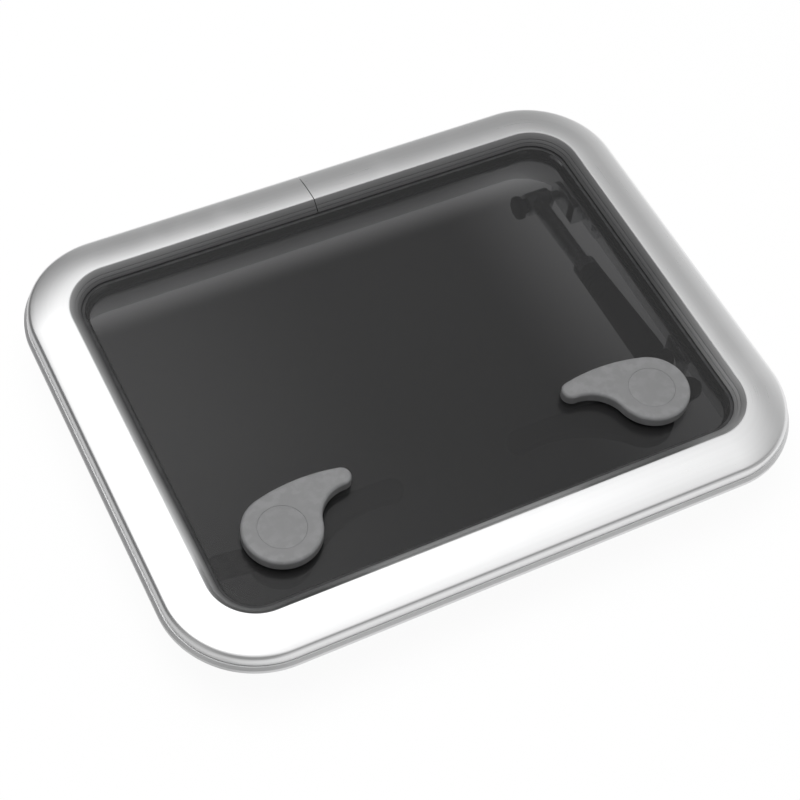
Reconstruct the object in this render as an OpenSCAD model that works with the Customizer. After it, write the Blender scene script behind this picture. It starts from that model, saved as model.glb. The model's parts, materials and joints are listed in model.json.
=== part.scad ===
// Low deck hatch: an aluminium base frame, a hinged lid ring with a sunk smoked pane,
// two drop-shaped handles with dogs and inner levers, and a telescopic stay on the right.
// Millimetres. The origin is the centre of the deck plane, +X right, +Y to the hinges, +Z up.

/* [Overall] */
// Width of the base flange
overall_w = 430; // [400:1:520]
// Depth of the base flange, front to hinges
overall_d = 338; // [320:1:420]
// Radius of the base flange's corners in plan
corner_r = 62; // [58:1:68]

/* [Base frame] */
// Thickness of the flange on the deck
flange_t = 4.4; // [4.2:0.1:6]
// Height of the flange's upright outer edge, below its bevel
flange_edge_h = 2.7; // [1.5:0.1:3]
// Width of the bevel round the flange's top edge
flange_bevel = 1.8; // [1:0.1:2.2]
// Width of the flange, out to in, up to the coaming
flange_w = 25; // [23:0.5:26]
// Thickness of the coaming wall
coaming_t = 3; // [2:0.1:4]
// How far the coaming reaches below the deck
coaming_depth = 36; // [35:0.5:60]
// How far the seal rim stands above the flange
rim_h = 4.6; // [3.5:0.1:5]
// Radius of the deck screw holes
deck_hole_r = 2.6; // [2:0.1:3]
// Radius of the countersinks of the deck screw holes
deck_sink_r = 5; // [3.5:0.1:5.4]
// Inset of the deck screw holes from the flange's edge
deck_hole_inset = 14.5; // [14:0.1:17]
// Distance between the deck screws along the front and the back
deck_row_x = 250; // [230:1:270]
// Distance between the deck screws along each side
deck_row_y = 110; // [80:1:180]

/* [Lid frame] */
// How far the lid stands back from the flange's edge
ledge = 2.4; // [2.2:0.1:3]
// Gap between the lid and the flange
lid_gap = 0.5; // [0.4:0.1:1]
// Height of the lid's outer shoulder above its underside
shoulder_h = 8.2; // [7.5:0.1:10]
// Radius of the outer shoulder
shoulder_r = 4; // [2:0.1:5]
// Slope of the top where it leaves the shoulder, in degrees
crown_slope = 15; // [12:1:20]
// Rise of the crowned top from the shoulder to the inner crest
crown_h = 3.2; // [2.5:0.1:4]
// Width of the ring's top, flange edge to inner crest
ring_w = 30.2; // [29.5:0.1:33]
// Width of the sloped inner wall in plan
slope_w = 7; // [6:0.1:8]
// Height of the sloped inner wall
slope_h = 5.9; // [5:0.1:6.5]
// Thickness of the ring's outer side
side_t = 5.6; // [4.5:0.1:6]
// Thickness of the ring's top skin at its crest
skin_t = 3.4; // [2.5:0.1:3.6]
// Thickness of the upright web between the top and the pane's seat
web_t = 3.2; // [2.5:0.1:3.5]
// Width of the lip under the pane
lip_w = 4.8; // [4.4:0.1:6]
// Thickness of the lip under the pane
lip_t = 2.5; // [2:0.1:3]
// Distance of the ring's butt joint from the middle of the back
seam_x = -1; // [-30:1:30]
// Width of the ring's butt joint
seam_w = 0.3; // [0.2:0.05:0.6]

/* [Pane] */
// Thickness of the pane
pane_t = 8; // [6:0.5:9]
// How far the pane's top lies below the foot of the sloped wall
pane_sink = 1.3; // [1:0.1:2]
// Width of the gasket round the pane
gasket_w = 2.3; // [1.5:0.1:3]
// Thickness of the gasket under the pane
gasket_t = 1.5; // [1:0.1:2]
// How far the gasket's top stands above the pane
gasket_proud = 0.3; // [0.1:0.1:0.8]
// Width of the lid seal
seal_w = 8; // [7:0.1:8.2]
// Gap between the lid seal and the rim with the lid shut
seal_gap = 0.2; // [0.1:0.05:0.4]

/* [Hinges] */
// Distance of each hinge's middle from the hatch's middle
hinge_x = 80; // [60:1:85]
// Length of each hinge
hinge_len = 50; // [40:1:60]
// Radius of the hinge knuckles
knuckle_r = 2.1; // [1.9:0.05:2.1]
// Radius of the hinge pins
hinge_pin_r = 1.05; // [0.9:0.05:1.15]
// Thickness of the hinge leaves
leaf_t = 1.2; // [1:0.1:1.4]
// How far the base leaves reach in from the hinge axis
base_leaf_w = 16; // [14:0.5:18]
// Gap between neighbouring knuckles
knuckle_gap = 0.3; // [0.2:0.05:0.5]
// Height of the upright part of the lid leaves
lid_leaf_h = 4.6; // [4:0.1:5]

/* [Handles] */
// Distance of the handles' hubs in from the side edges
hub_side_inset = 86.5; // [84:0.5:92]
// Distance of the handles' hubs in from the front edge
hub_inset = 78.5; // [75:0.5:82]
// Radius of the outer handles' hub
handle_hub_r = 25; // [22:0.5:28]
// Radius of the outer handles' tip
handle_tip_r = 6.5; // [5:0.5:8]
// Length of the outer handles from hub centre to tip
handle_reach = 58; // [52:1:64]
// Radius of the hollow side of the outer handles
handle_hollow_r = 24; // [20:1:34]
// Radius of the handle's bowed side
handle_bow_r = 118; // [100:2:300]
// Thickness of the outer handles
handle_t = 8.5; // [8:0.1:10]
// Angle of the outer handles towards the hinges, in degrees
handle_angle = 22; // [15:1:35]
// Gap between the pane and the outer handles
handle_gap = 1.5; // [1.5:0.1:3]
// Radius of the cap on each handle's hub
cap_r = 15; // [12:0.5:18]
// Thickness of the cap on each handle's hub
cap_t = 1.2; // [0.8:0.1:1.4]
// How far the handles turn to lock, in degrees
handle_turn = 85; // [70:1:85]

/* [Spindles] */
// Radius of the spindles
spindle_r = 6; // [5.5:0.1:6.5]
// Radius of the bushes in the pane
bush_r = 11; // [9:0.5:12]
// Radius of the bush flanges and nuts
bush_flange_r = 17; // [15:0.5:18]
// Thickness of the bush flanges
bush_flange_t = 1.2; // [1:0.1:1.3]
// Thickness of the bush nuts
bush_nut_t = 3.5; // [2.5:0.1:3.6]
// Thickness of the thrust washers
washer_t = 1.3; // [1:0.1:1.5]
// Thickness of the ring section of the spindle seals
o_ring_d = 1.4; // [1.2:0.1:1.5]
// Radius of the handle and lever screws
grip_screw_r = 2.5; // [2:0.1:2.6]

/* [Dogs and levers] */
// Length of the dogs from the spindle
dog_len = 46.5; // [45.5:0.5:46.5]
// Width of the dogs
dog_w = 16; // [14:0.5:18]
// Thickness of the dogs
dog_t = 5; // [4:0.1:6]
// Angle of the resting dogs towards the hinges, in degrees
dog_angle = 8; // [0:1:10]
// Gap between a locked dog and its keeper
dog_gap = 0.5; // [0.3:0.1:0.8]
// Thickness of the keepers' shelf over the dogs
keeper_t = 4.5; // [4:0.1:5]
// Thickness of the keepers' back plate
keeper_plate_t = 2.5; // [2:0.1:3]
// Width of the keepers
keeper_w = 27; // [24:1:28]
// How far the keepers' shelf reaches in from the coaming
keeper_reach = 12; // [11:0.5:13]
// Height of the keepers' back plate below the shelf
keeper_drop = 17; // [16:0.5:20]
// Radius of the inner levers' hub
lever_hub_r = 20.5; // [19:0.5:21.5]
// Radius of the inner levers' tip
lever_tip_r = 8; // [6:0.5:9]
// Length of the inner levers from hub centre to tip
lever_reach = 92; // [80:1:94]
// Radius of the hollow side of the inner levers
lever_hollow_r = 70; // [60:1:90]
// Radius of the lever's bowed side
lever_bow_r = 600; // [500:20:900]
// Thickness of the inner levers
lever_t = 8; // [6:0.5:9]
// Angle of the inner levers towards the hinges, in degrees
lever_angle = 11; // [9:1:15]

/* [Stay] */
// Distance of the stay in from the right edge
stay_inset = 56; // [55:0.5:57]
// Distance of the stay's base pivot in from the back edge
stay_rear_inset = 63; // [60:0.5:66]
// Depth of the stay's base pivot below the deck
stay_rear_depth = 24; // [22:0.5:26]
// Distance of the stay's lid pivot in from the front edge
stay_front_inset = 113; // [111:0.5:116]
// Depth of the stay's lid pivot below the deck
stay_front_depth = 14; // [14:0.5:15]
// How far the lid opens, in degrees
lid_open = 60; // [50:1:60]
// Radius of the stay's rod
rod_r = 5.8; // [5:0.1:6]
// Radius of the stay's tube at its mouth
tube_mouth_r = 8.2; // [8:0.1:9]
// Radius of the stay's tube at its widest
tube_r = 10.2; // [9.5:0.1:10.4]
// Distance of the tube's mouth from the base pivot with the lid shut
tube_start = 66; // [62:1:70]
// Radial gap between the rod and the tube
rod_gap = 0.3; // [0.2:0.05:0.4]
// Length of the clamp collar at the tube's mouth
collar_len = 7; // [5:0.5:10]
// Radius of the barrel of the rod's head
head_r = 8; // [7:0.5:9]
// Length of the barrel of the rod's head
head_len = 18; // [14:0.5:20]
// Radius of the stay's base pin
base_pin_r = 3.5; // [3:0.1:4]
// Radius of the knob on the base pin
knob_r = 8.5; // [7:0.5:9]
// Length of the knob on the base pin
knob_len = 8.5; // [7:0.5:10]
// Radius of the stud at the tube's front end
stud_r = 3; // [2.5:0.1:3.2]
// Clearance of the stud in the slot of the lid's bracket
slot_gap = 0.9; // [0.85:0.05:1.2]
// Thickness of the stay brackets
bracket_t = 2.5; // [2:0.1:2.8]

/* [Clearances] */
// Radial clearance of turning fits
run_gap = 0.05; // [0.03:0.01:0.09]
// Radial clearance of fixed fits
fix_gap = 0.02; // [0.01:0.005:0.03]
// Clearance between faces that pass each other
pass_gap = 0.3; // [0.25:0.05:0.5]
// Radius of the small screws' shanks
screw_r = 1.7; // [1.4:0.1:1.8]
// Radius of the small screws' heads
screw_head_r = 3.1; // [2.6:0.1:3.3]
// Height of the small screws' heads
screw_head_t = 1.8; // [1.2:0.1:2]

/* [Hidden] */
$fn = 64;
// Steps of a drawn curve in a profile
curve_steps = 8;
// Overlap of a cutting shape past the face that it cuts
cut = 1;
// How far a side of a drop shape cuts into its round ends, so that they meet at an angle
bite = 0.05;

// Depth of the hinge screws in the flange and in the lid's side
hinge_screw_depth = 2.2;
lid_screw_len = 3.2;
// Radii of the short thin screws that stop inside the lid
lid_screw_r = 1.2;
lid_screw_head_r = 2.1;
lid_screw_head_t = 1.2;
// Room left past a screw's point
point_gap = 0.2;

// Heights of the lid
lid_z = flange_t + lid_gap;
shoulder_z = lid_z + shoulder_h;
crest_z = shoulder_z + crown_h;
slope_z = crest_z - slope_h;
pane_top = slope_z - pane_sink;
pane_bot = pane_top - pane_t;
seat_z = pane_bot - gasket_t;
lip_z = seat_z - lip_t;
skin_z = crest_z - skin_t;
low_z = shoulder_z - skin_t;

// Insets from the flange's edge
coaming_in = flange_w + coaming_t;
wall_in = ring_w + slope_w;
web_in = wall_in - web_t;
pane_in = wall_in + gasket_w;
lip_in = wall_in + lip_w;
side_in = ledge + side_t;
seal_mid_in = flange_w + coaming_t / 2;
seal_in = seal_mid_in - seal_w / 2;
rim_z = flange_t + rim_h;

// Hinge axis, with the knuckles inside the flange's thickness
axis_y = overall_d / 2 - ledge;
axis_z = flange_t - knuckle_r;
knuckle_count = 5;
knuckle_pitch = hinge_len / knuckle_count;
// Depth of the open notch for the knuckles, from the flange's edge
notch_in = ledge + knuckle_r + 2 * pass_gap;
leaf_z = flange_t - leaf_t;
// Hinge screw places, shared by leaves, screws, flange and lid
hinge_screw_x = 15;
hinge_screw_y = axis_y - base_leaf_w + screw_head_r + 1.2;
hinge_hole_z = leaf_z - hinge_screw_depth - point_gap;
lid_plate_y = overall_d / 2 - side_in;
base_plate_y = lid_plate_y - leaf_t - 2 * pass_gap - 0.4;
lid_screw_z = lid_z + lid_leaf_h / 2;

// Joint key: a flat bar under the ring's top that bridges the butt joint
key_len = 64;
key_t = 2;
key_w = 8;
key_rivet_xs = [-24, -10, 10, 24];
key_rivet_depth = 2.5;
key_z = low_z - key_t;
key_y = overall_d / 2 - side_in - 2 - key_w / 2;

// Handle stack, from the top down
hub_x = overall_w / 2 - hub_side_inset;
hub_y = hub_inset - overall_d / 2;
handle_bot = pane_top + handle_gap;
handle_top = handle_bot + handle_t;
cap_z = handle_top - cap_t;
grip_head_t = 1.6;
grip_head_r = grip_screw_r + 2.3;
grip_seat_z = cap_z - grip_head_t - 0.2;
spindle_top = grip_seat_z - 1.5;
bush_nut_z = pane_bot - bush_nut_t;
washer_z = bush_nut_z - 0.2 - washer_t;
dog_top = lip_z - 1 - keeper_t - dog_gap;
dog_z = dog_top - dog_t;
dog_hub_r = spindle_r + 4;
lever_top = dog_z - 0.3;
lever_z = lever_top - lever_t;
spindle_bot = lever_z + 0.3;
lever_head_r = spindle_r + 2;
lever_head_t = 2.2;
grip_screw_len = 11;
seal_ring_z = pane_top - pane_t / 2;
groove_h = o_ring_d + 0.6;
groove_r = spindle_r - o_ring_d - 0.1;

// Keepers stand at the ends of the straight front wall, over the locked dogs
keeper_x = overall_w / 2 - corner_r - keeper_w / 2 - 0.5;
keeper_y = coaming_in - overall_d / 2;
keeper_top = dog_top + dog_gap + keeper_t;
keeper_screw_z = dog_z - screw_head_r - 1;
keeper_screw_x = 8;

// Stay: base pivot, lid pivot, and the line between them
stay_x = overall_w / 2 - stay_inset;
rear_y = overall_d / 2 - stay_rear_inset;
rear_z = -stay_rear_depth;
front_y = stay_front_inset - overall_d / 2;
front_z = -stay_front_depth;
stay_len = norm([front_y - rear_y, front_z - rear_z]);
stay_tilt = atan2(front_z - rear_z, rear_y - front_y);
coaming_x = overall_w / 2 - coaming_in;
rod_end = stay_len - 16;
tube_end = stay_len - 4;
bore_end = rod_end + 1.5;
tube_block_x = stay_x + tube_r + 0.4;
slot_plate_x = tube_block_x + 1.5;
stud_end_x = slot_plate_x + bracket_t + 2;
clip_t = 1.2;
clip_r = stud_r + 2.2;
block_r = 6;
stud_depth = 6;
// Knob, head and collar of the base pin, along X from the inside out
knob_end_x = stay_x - head_len / 2 - pass_gap;
pin_collar_x = stay_x + head_len / 2 + pass_gap;
pin_collar_t = 2;
// Base bracket: a plate on the straight wall, with an arm back to the pivot
arm_in = 11;
arm_x = coaming_x - arm_in;
arm_t = 4;
arm_h = 18;
bracket_len = 28;
bracket_web = 8;
bracket_margin = 15;
bracket_screw_in = 4;
bracket_y = overall_d / 2 - corner_r - bracket_margin;
stay_screw_ys = [bracket_y - bracket_len + bracket_screw_in, bracket_y - bracket_web - bracket_screw_in];
// Lid bracket: its screws stop inside the lip
lid_bracket_len = 9.4;
lid_bracket_ys = [front_y - 13, front_y + 6];
lid_bracket_screw_x = overall_w / 2 - lip_in + 3.5;
lip_screw_len = lip_t - 0.3;

// Where the lid pivot stands with the lid open by an angle
function lid_pivot(turn) = [
    axis_y + (front_y - axis_y) * cos(turn) + (front_z - axis_z) * sin(turn),
    axis_z - (front_y - axis_y) * sin(turn) + (front_z - axis_z) * cos(turn)
];
function reach_of(p) = norm([p[0] - rear_y, p[1] - rear_z]);
function angle_of(p) = atan2(p[1] - rear_z, p[0] - rear_y);
open_pivot = lid_pivot(lid_open);
stay_swing = angle_of(open_pivot) - angle_of(lid_pivot(0));
stay_stroke = reach_of(open_pivot) - stay_len;
// The stud's place on the lid when swing and stroke follow the lid's angle evenly
function stud_world(turn) =
    let (a = angle_of(lid_pivot(0)) + stay_swing * turn / lid_open,
         l = stay_len + stay_stroke * turn / lid_open)
    [rear_y + l * cos(a) - axis_y, rear_z + l * sin(a) - axis_z];
function stud_on_lid(turn) =
    let (p = stud_world(turn))
    [axis_y + p[0] * cos(turn) - p[1] * sin(turn), axis_z + p[0] * sin(turn) + p[1] * cos(turn)];
slot_far = stud_on_lid(lid_open / 2);

aluminium = [0.80, 0.81, 0.82];
steel = [0.62, 0.63, 0.65];
smoke = [0.12, 0.12, 0.13];
grip_grey = [0.42, 0.42, 0.43];
black = [0.07, 0.07, 0.07];

// Carries a profile, drawn as inset and height, once round the hatch
module around_hatch() {
    for (side = [0:3]) {
        along_x = side % 2 == 0;
        run = (along_x ? overall_w : overall_d) - 2 * corner_r;
        out = (along_x ? overall_d : overall_w) / 2;
        rotate([0, 0, 90 * side]) {
            translate([-run / 2, -out, 0]) rotate([90, 0, 90]) linear_extrude(run) children();
            translate([run / 2, corner_r - out, 0]) rotate([0, 0, -90])
                rotate_extrude(angle = 90, $fn = 96) translate([corner_r, 0]) mirror([1, 0]) children();
        }
    }
}

// A plate with the hatch's outline, drawn in by an inset
module inset_plate(inset, h) {
    r = corner_r - inset;
    w = overall_w - 2 * inset;
    d = overall_d - 2 * inset;
    linear_extrude(h) {
        square([w - 2 * r, d], center = true);
        square([w, d - 2 * r], center = true);
        for (x = [-1, 1], y = [-1, 1]) translate([x * (w / 2 - r), y * (d / 2 - r)]) circle(r, $fn = 96);
    }
}

// A box between two corners
module span(low, high) {
    translate(low) cube([for (i = [0:2]) high[i] - low[i]]);
}

// A round bar along X from one place to another
module bar_x(x0, x1, y, z, r) {
    translate([x0, y, z]) rotate([0, 90, 0]) cylinder(h = x1 - x0, r = r);
}

// Draws a piece of the left side as it is, or mirrored for the right
module on_side(side) {
    if (side > 0) mirror([1, 0, 0]) children();
    else children();
}

// A pan head screw standing on the XY plane, its shank down
module pan_screw(shank) {
    cylinder(h = screw_head_t, r = screw_head_r);
    translate([0, 0, -shank]) cylinder(h = shank + screw_head_t / 2, r = screw_r);
}

// Deck screw places: rows at the front and back, and pairs on each side
deck_places = concat(
    [for (x = [-1, 1], y = [-1, 1]) [x * deck_row_x / 2, y * (overall_d / 2 - deck_hole_inset)]],
    [for (x = [-1, 1], y = [-1, 1]) [x * (overall_w / 2 - deck_hole_inset), y * deck_row_y / 2]]
);

module base_profile() {
    polygon([
        [0, 0], [0, flange_edge_h], [flange_bevel, flange_t], [flange_w, flange_t], [flange_w, rim_z],
        [coaming_in, rim_z], [coaming_in, -coaming_depth], [flange_w, -coaming_depth], [flange_w, 0]
    ]);
}

module base_frame() {
    color(aluminium) difference() {
        around_hatch() base_profile();
        for (p = deck_places) translate(p) {
            translate([0, 0, -cut]) cylinder(h = flange_t + 2 * cut, r = deck_hole_r);
            translate([0, 0, flange_t - (deck_sink_r - deck_hole_r)])
                cylinder(h = deck_sink_r - deck_hole_r + 0.01, r1 = deck_hole_r, r2 = deck_sink_r + 0.01);
        }
        for (side = [-1, 1]) {
            translate([side * hinge_x, 0, 0]) hinge_pocket();
            for (x = [-1, 1]) translate([side * keeper_x + x * keeper_screw_x, keeper_y, keeper_screw_z])
                rotate([90, 0, 0]) cylinder(h = coaming_t + cut, r = screw_r + fix_gap);
            for (x = [-1, 1]) translate([side * hinge_x + x * hinge_screw_x, hinge_screw_y, hinge_hole_z])
                cylinder(h = leaf_z - hinge_hole_z + cut, r = screw_r + fix_gap);
        }
        for (y = stay_screw_ys)
            bar_x(coaming_x - cut, coaming_x + coaming_t + cut, y, rear_z, screw_r + fix_gap);
    }
}

// Room in the flange for one hinge: an open notch for the knuckles and a shallow bed for the leaf
module hinge_pocket() {
    half = hinge_len / 2 + pass_gap;
    edge_y = overall_d / 2;
    span([-half, edge_y - notch_in, -cut], [half, edge_y + cut, flange_t + cut]);
    span([-half, axis_y - base_leaf_w - fix_gap, leaf_z], [half, edge_y - notch_in + cut, flange_t + cut]);
}

// Knuckles of one leaf: the first, third and fifth, or the two between
module knuckles(first, gap, bore_gap) {
    for (i = [first:2:knuckle_count - 1]) {
        x0 = -hinge_len / 2 + i * knuckle_pitch + gap / 2;
        x1 = x0 + knuckle_pitch - gap;
        difference() {
            union() {
                bar_x(x0, x1, axis_y, axis_z, knuckle_r);
                run_x(x0, x1) children();
            }
            bar_x(x0 - cut, x1 + cut, axis_y, axis_z, hinge_pin_r + bore_gap);
        }
    }
}

// Runs a section, drawn as Y and Z, from one place to another along X
module run_x(x0, x1) {
    translate([x0, 0, 0]) rotate([90, 0, 90]) linear_extrude(x1 - x0) children();
}

module hinge_base_leaf(side) {
    color(steel) translate([side * hinge_x, 0, 0]) {
        knuckles(0, knuckle_gap, fix_gap)
            translate([base_plate_y - 0.01, leaf_z]) square([axis_y - base_plate_y + 0.01, leaf_t]);
        difference() {
            span([-hinge_len / 2 + knuckle_gap / 2, axis_y - base_leaf_w, leaf_z],
                 [hinge_len / 2 - knuckle_gap / 2, base_plate_y, flange_t]);
            for (x = [-1, 1]) translate([x * hinge_screw_x, hinge_screw_y, leaf_z - cut])
                cylinder(h = leaf_t + 2 * cut, r = screw_r + fix_gap);
        }
    }
}

module hinge_base_screws() {
    color(steel) for (side = [-1, 1], x = [-1, 1])
        translate([side * hinge_x + x * hinge_screw_x, hinge_screw_y, flange_t]) {
            cylinder(h = screw_head_t * 0.7, r = screw_head_r);
            translate([0, 0, -leaf_t - hinge_screw_depth])
                cylinder(h = leaf_t + hinge_screw_depth + 0.1, r = screw_r);
        }
}

module hinge_lid_leaf(side) {
    inner_y = lid_plate_y - leaf_t;
    finger_z = leaf_z + pass_gap;
    foot_z = flange_t + pass_gap;
    half = hinge_len / 2 - knuckle_gap / 2;
    color(steel) translate([side * hinge_x, 0, 0]) difference() {
        union() {
            knuckles(1, knuckle_gap, run_gap)
                polygon([[inner_y, finger_z], [axis_y, finger_z], [axis_y, flange_t],
                         [lid_plate_y, flange_t], [lid_plate_y, foot_z + 0.5], [inner_y, foot_z + 0.5]]);
            span([-half, inner_y, foot_z], [half, lid_plate_y, lid_z + lid_leaf_h]);
        }
        for (x = [-1, 1]) translate([x * hinge_screw_x, lid_plate_y + cut, lid_screw_z])
            rotate([90, 0, 0]) cylinder(h = leaf_t + 2 * cut, r = lid_screw_r + fix_gap);
    }
}

module hinge_lid_screws() {
    color(steel) for (side = [-1, 1], x = [-1, 1])
        translate([side * hinge_x + x * hinge_screw_x, lid_plate_y - leaf_t, lid_screw_z])
            rotate([90, 0, 0]) small_screw(leaf_t + lid_screw_len);
}

module hinge_pin(side) {
    half = hinge_len / 2;
    color(steel) bar_x(side * hinge_x - half, side * hinge_x + half, axis_y, axis_z, hinge_pin_r);
}

// A short thin screw standing on the XY plane, its shank down
module small_screw(shank) {
    cylinder(h = lid_screw_head_t, r = lid_screw_head_r);
    translate([0, 0, -shank]) cylinder(h = shank + lid_screw_head_t / 2, r = lid_screw_r);
}

module keeper(side) {
    half = keeper_w / 2;
    shelf_z = keeper_top - keeper_t;
    color(aluminium) on_side(side) translate([-keeper_x, keeper_y, 0]) difference() {
        union() {
            span([-half, 0, shelf_z - keeper_drop], [half, keeper_plate_t, keeper_top]);
            span([-half, 0, shelf_z], [half, keeper_reach, keeper_top]);
        }
        for (x = [-1, 1]) translate([x * keeper_screw_x, -cut, keeper_screw_z])
            rotate([-90, 0, 0]) cylinder(h = keeper_plate_t + 2 * cut, r = screw_r + fix_gap);
    }
}

module keeper_screws() {
    color(steel) for (side = [-1, 1], x = [-1, 1])
        translate([side * keeper_x + x * keeper_screw_x, keeper_y + keeper_plate_t, keeper_screw_z])
            rotate([-90, 0, 0]) pan_screw(keeper_plate_t + coaming_t);
}

// Shoulder and crowned top of the ring, as insets and heights
shoulder_c = [ledge + shoulder_r, shoulder_z - shoulder_r];
shoulder_pts = [for (i = [0:curve_steps])
    let (a = 180 - (90 - crown_slope) * i / curve_steps)
    shoulder_c + shoulder_r * [cos(a), sin(a)]];
crown_start = shoulder_pts[curve_steps];
crown_knee = [crown_start[0] + (crest_z - crown_start[1]) / tan(crown_slope), crest_z];
crest = [ring_w, crest_z];
crown_pts = [for (i = [1:curve_steps])
    let (t = i / curve_steps)
    crown_start * pow(1 - t, 2) + crown_knee * 2 * t * (1 - t) + crest * t * t];

module lid_profile() {
    polygon(concat(
        [[ledge, lid_z]], shoulder_pts, crown_pts,
        [[wall_in, slope_z], [wall_in, seat_z], [lip_in, seat_z], [lip_in, lip_z], [web_in, lip_z],
         [web_in, skin_z - web_t], [web_in - web_t, skin_z], [seal_in - 1, skin_z],
         [seal_in - 1, low_z], [side_in, low_z], [side_in, lid_z]]
    ));
}

module lid_frame() {
    color(aluminium) difference() {
        around_hatch() lid_profile();
        // butt joint of the bent ring
        span([seam_x - seam_w / 2, overall_d / 2 - lip_in - cut, lip_z - cut],
             [seam_x + seam_w / 2, overall_d / 2 + cut, crest_z + cut]);
        for (side = [-1, 1], x = [-1, 1])
            translate([side * hinge_x + x * hinge_screw_x, lid_plate_y - cut, lid_screw_z])
                rotate([-90, 0, 0]) cylinder(h = lid_screw_len + point_gap + cut, r = lid_screw_r + fix_gap);
        for (y = lid_bracket_ys) translate([lid_bracket_screw_x, y, lip_z - cut])
            cylinder(h = lip_screw_len + point_gap + cut, r = lid_screw_r + fix_gap);
        for (x = key_rivet_xs) translate([seam_x + x, key_y, low_z - cut])
            cylinder(h = key_rivet_depth + point_gap + cut, r = lid_screw_r + fix_gap);
    }
}

module joint_key() {
    half = key_len / 2;
    color(aluminium) difference() {
        span([seam_x - half, key_y - key_w / 2, key_z], [seam_x + half, key_y + key_w / 2, low_z]);
        for (x = key_rivet_xs) translate([seam_x + x, key_y, key_z - cut])
            cylinder(h = key_t + 2 * cut, r = lid_screw_r + fix_gap);
    }
}

module joint_key_rivets() {
    color(steel) for (x = key_rivet_xs) translate([seam_x + x, key_y, key_z])
        rotate([180, 0, 0]) small_screw(key_t + key_rivet_depth);
}

module pane() {
    color(smoke) difference() {
        translate([0, 0, pane_bot]) inset_plate(pane_in, pane_t);
        for (side = [-1, 1]) translate([side * hub_x, hub_y, pane_bot - cut])
            cylinder(h = pane_t + 2 * cut, r = bush_r + fix_gap);
    }
}

module pane_gasket() {
    top = pane_top + gasket_proud;
    color(black) around_hatch() polygon([
        [wall_in, seat_z], [lip_in, seat_z], [lip_in, pane_bot],
        [pane_in, pane_bot], [pane_in, top], [wall_in, top]
    ]);
}

module lid_seal() {
    color(black) around_hatch()
        translate([seal_in, rim_z + seal_gap]) square([seal_w, skin_z - rim_z - seal_gap]);
}

// Stands a piece on one handle's axis, drawn for the left and mirrored for the right
module on_hub(side, z) {
    on_side(side) translate([-hub_x, hub_y, z]) children();
}

module handle_bush(side) {
    color(black) on_hub(side, 0) difference() {
        union() {
            translate([0, 0, bush_nut_z]) cylinder(h = pane_top - bush_nut_z + bush_flange_t / 2, r = bush_r);
            translate([0, 0, pane_top]) cylinder(h = bush_flange_t, r = bush_flange_r);
        }
        translate([0, 0, bush_nut_z - cut])
            cylinder(h = pane_top - bush_nut_z + bush_flange_t + 2 * cut, r = spindle_r + run_gap);
    }
}

module bush_nut(side) {
    color(black) on_hub(side, bush_nut_z) difference() {
        cylinder(h = bush_nut_t, r = bush_flange_r, $fn = 6);
        translate([0, 0, -cut]) cylinder(h = bush_nut_t + 2 * cut, r = bush_r + fix_gap);
    }
}

// Drop shape along +X: a round hub, a small round tip, one bowed side and one hollow side
module teardrop(hub_r, tip_r, reach, hollow_r, bow_r) {
    c = reach - tip_r;
    a = hub_r + hollow_r;
    b = tip_r + hollow_r;
    qx = (c * c + a * a - b * b) / (2 * c);
    qy = -sqrt(a * a - qx * qx);
    e = bow_r - hub_r;
    g = bow_r - tip_r;
    bx = (c * c + e * e - g * g) / (2 * c);
    by = -sqrt(e * e - bx * bx);
    difference() {
        union() {
            circle(hub_r);
            translate([c, 0]) circle(tip_r);
            polygon([[0, 0], [qx, qy], [c, 0]]);
            // bowed side, between the lines from its centre through the hub's and the tip's centres
            intersection() {
                translate([bx, by]) circle(bow_r - bite, $fn = 720);
                polygon([[0, 0], [c, 0], [2 * c - bx, -by], [-bx, -by]]);
            }
        }
        translate([qx, qy]) circle(hollow_r + bite);
    }
}

module outer_handle(side) {
    color(grip_grey) on_hub(side, 0) difference() {
        translate([0, 0, handle_bot]) rotate([0, 0, handle_angle])
            linear_extrude(handle_t)
                teardrop(handle_hub_r, handle_tip_r, handle_reach, handle_hollow_r, handle_bow_r);
        translate([0, 0, handle_bot - cut])
            cylinder(h = spindle_top - handle_bot + cut, r = spindle_r + fix_gap);
        translate([0, 0, handle_bot]) cylinder(h = handle_t, r = grip_screw_r + fix_gap);
        translate([0, 0, grip_seat_z]) cylinder(h = handle_t, r = grip_head_r + fix_gap);
        translate([0, 0, cap_z]) cylinder(h = cap_t + cut, r = cap_r + fix_gap);
    }
}

module handle_cap(side) {
    color(grip_grey) on_hub(side, cap_z) cylinder(h = cap_t, r = cap_r);
}

module handle_screw(side) {
    color(steel) on_hub(side, grip_seat_z) {
        cylinder(h = grip_head_t, r = grip_head_r);
        translate([0, 0, -grip_screw_len]) cylinder(h = grip_screw_len + grip_head_t / 2, r = grip_screw_r);
    }
}

module spindle(side) {
    hole = grip_screw_len + point_gap - (grip_seat_z - spindle_top);
    lever_hole = grip_screw_len + point_gap - (spindle_bot - lever_z);
    color(steel) on_hub(side, 0) difference() {
        translate([0, 0, spindle_bot]) cylinder(h = spindle_top - spindle_bot, r = spindle_r);
        translate([0, 0, spindle_top - hole]) cylinder(h = hole + cut, r = grip_screw_r + fix_gap);
        translate([0, 0, spindle_bot - cut]) cylinder(h = lever_hole + cut, r = grip_screw_r + fix_gap);
        // groove of the ring seal
        translate([0, 0, seal_ring_z - groove_h / 2]) difference() {
            cylinder(h = groove_h, r = spindle_r + cut);
            translate([0, 0, -cut]) cylinder(h = groove_h + 2 * cut, r = groove_r);
        }
    }
}

module spindle_seal(side) {
    color(black) on_hub(side, seal_ring_z)
        rotate_extrude() translate([spindle_r - o_ring_d / 2, 0]) circle(o_ring_d / 2, $fn = 24);
}

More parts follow.
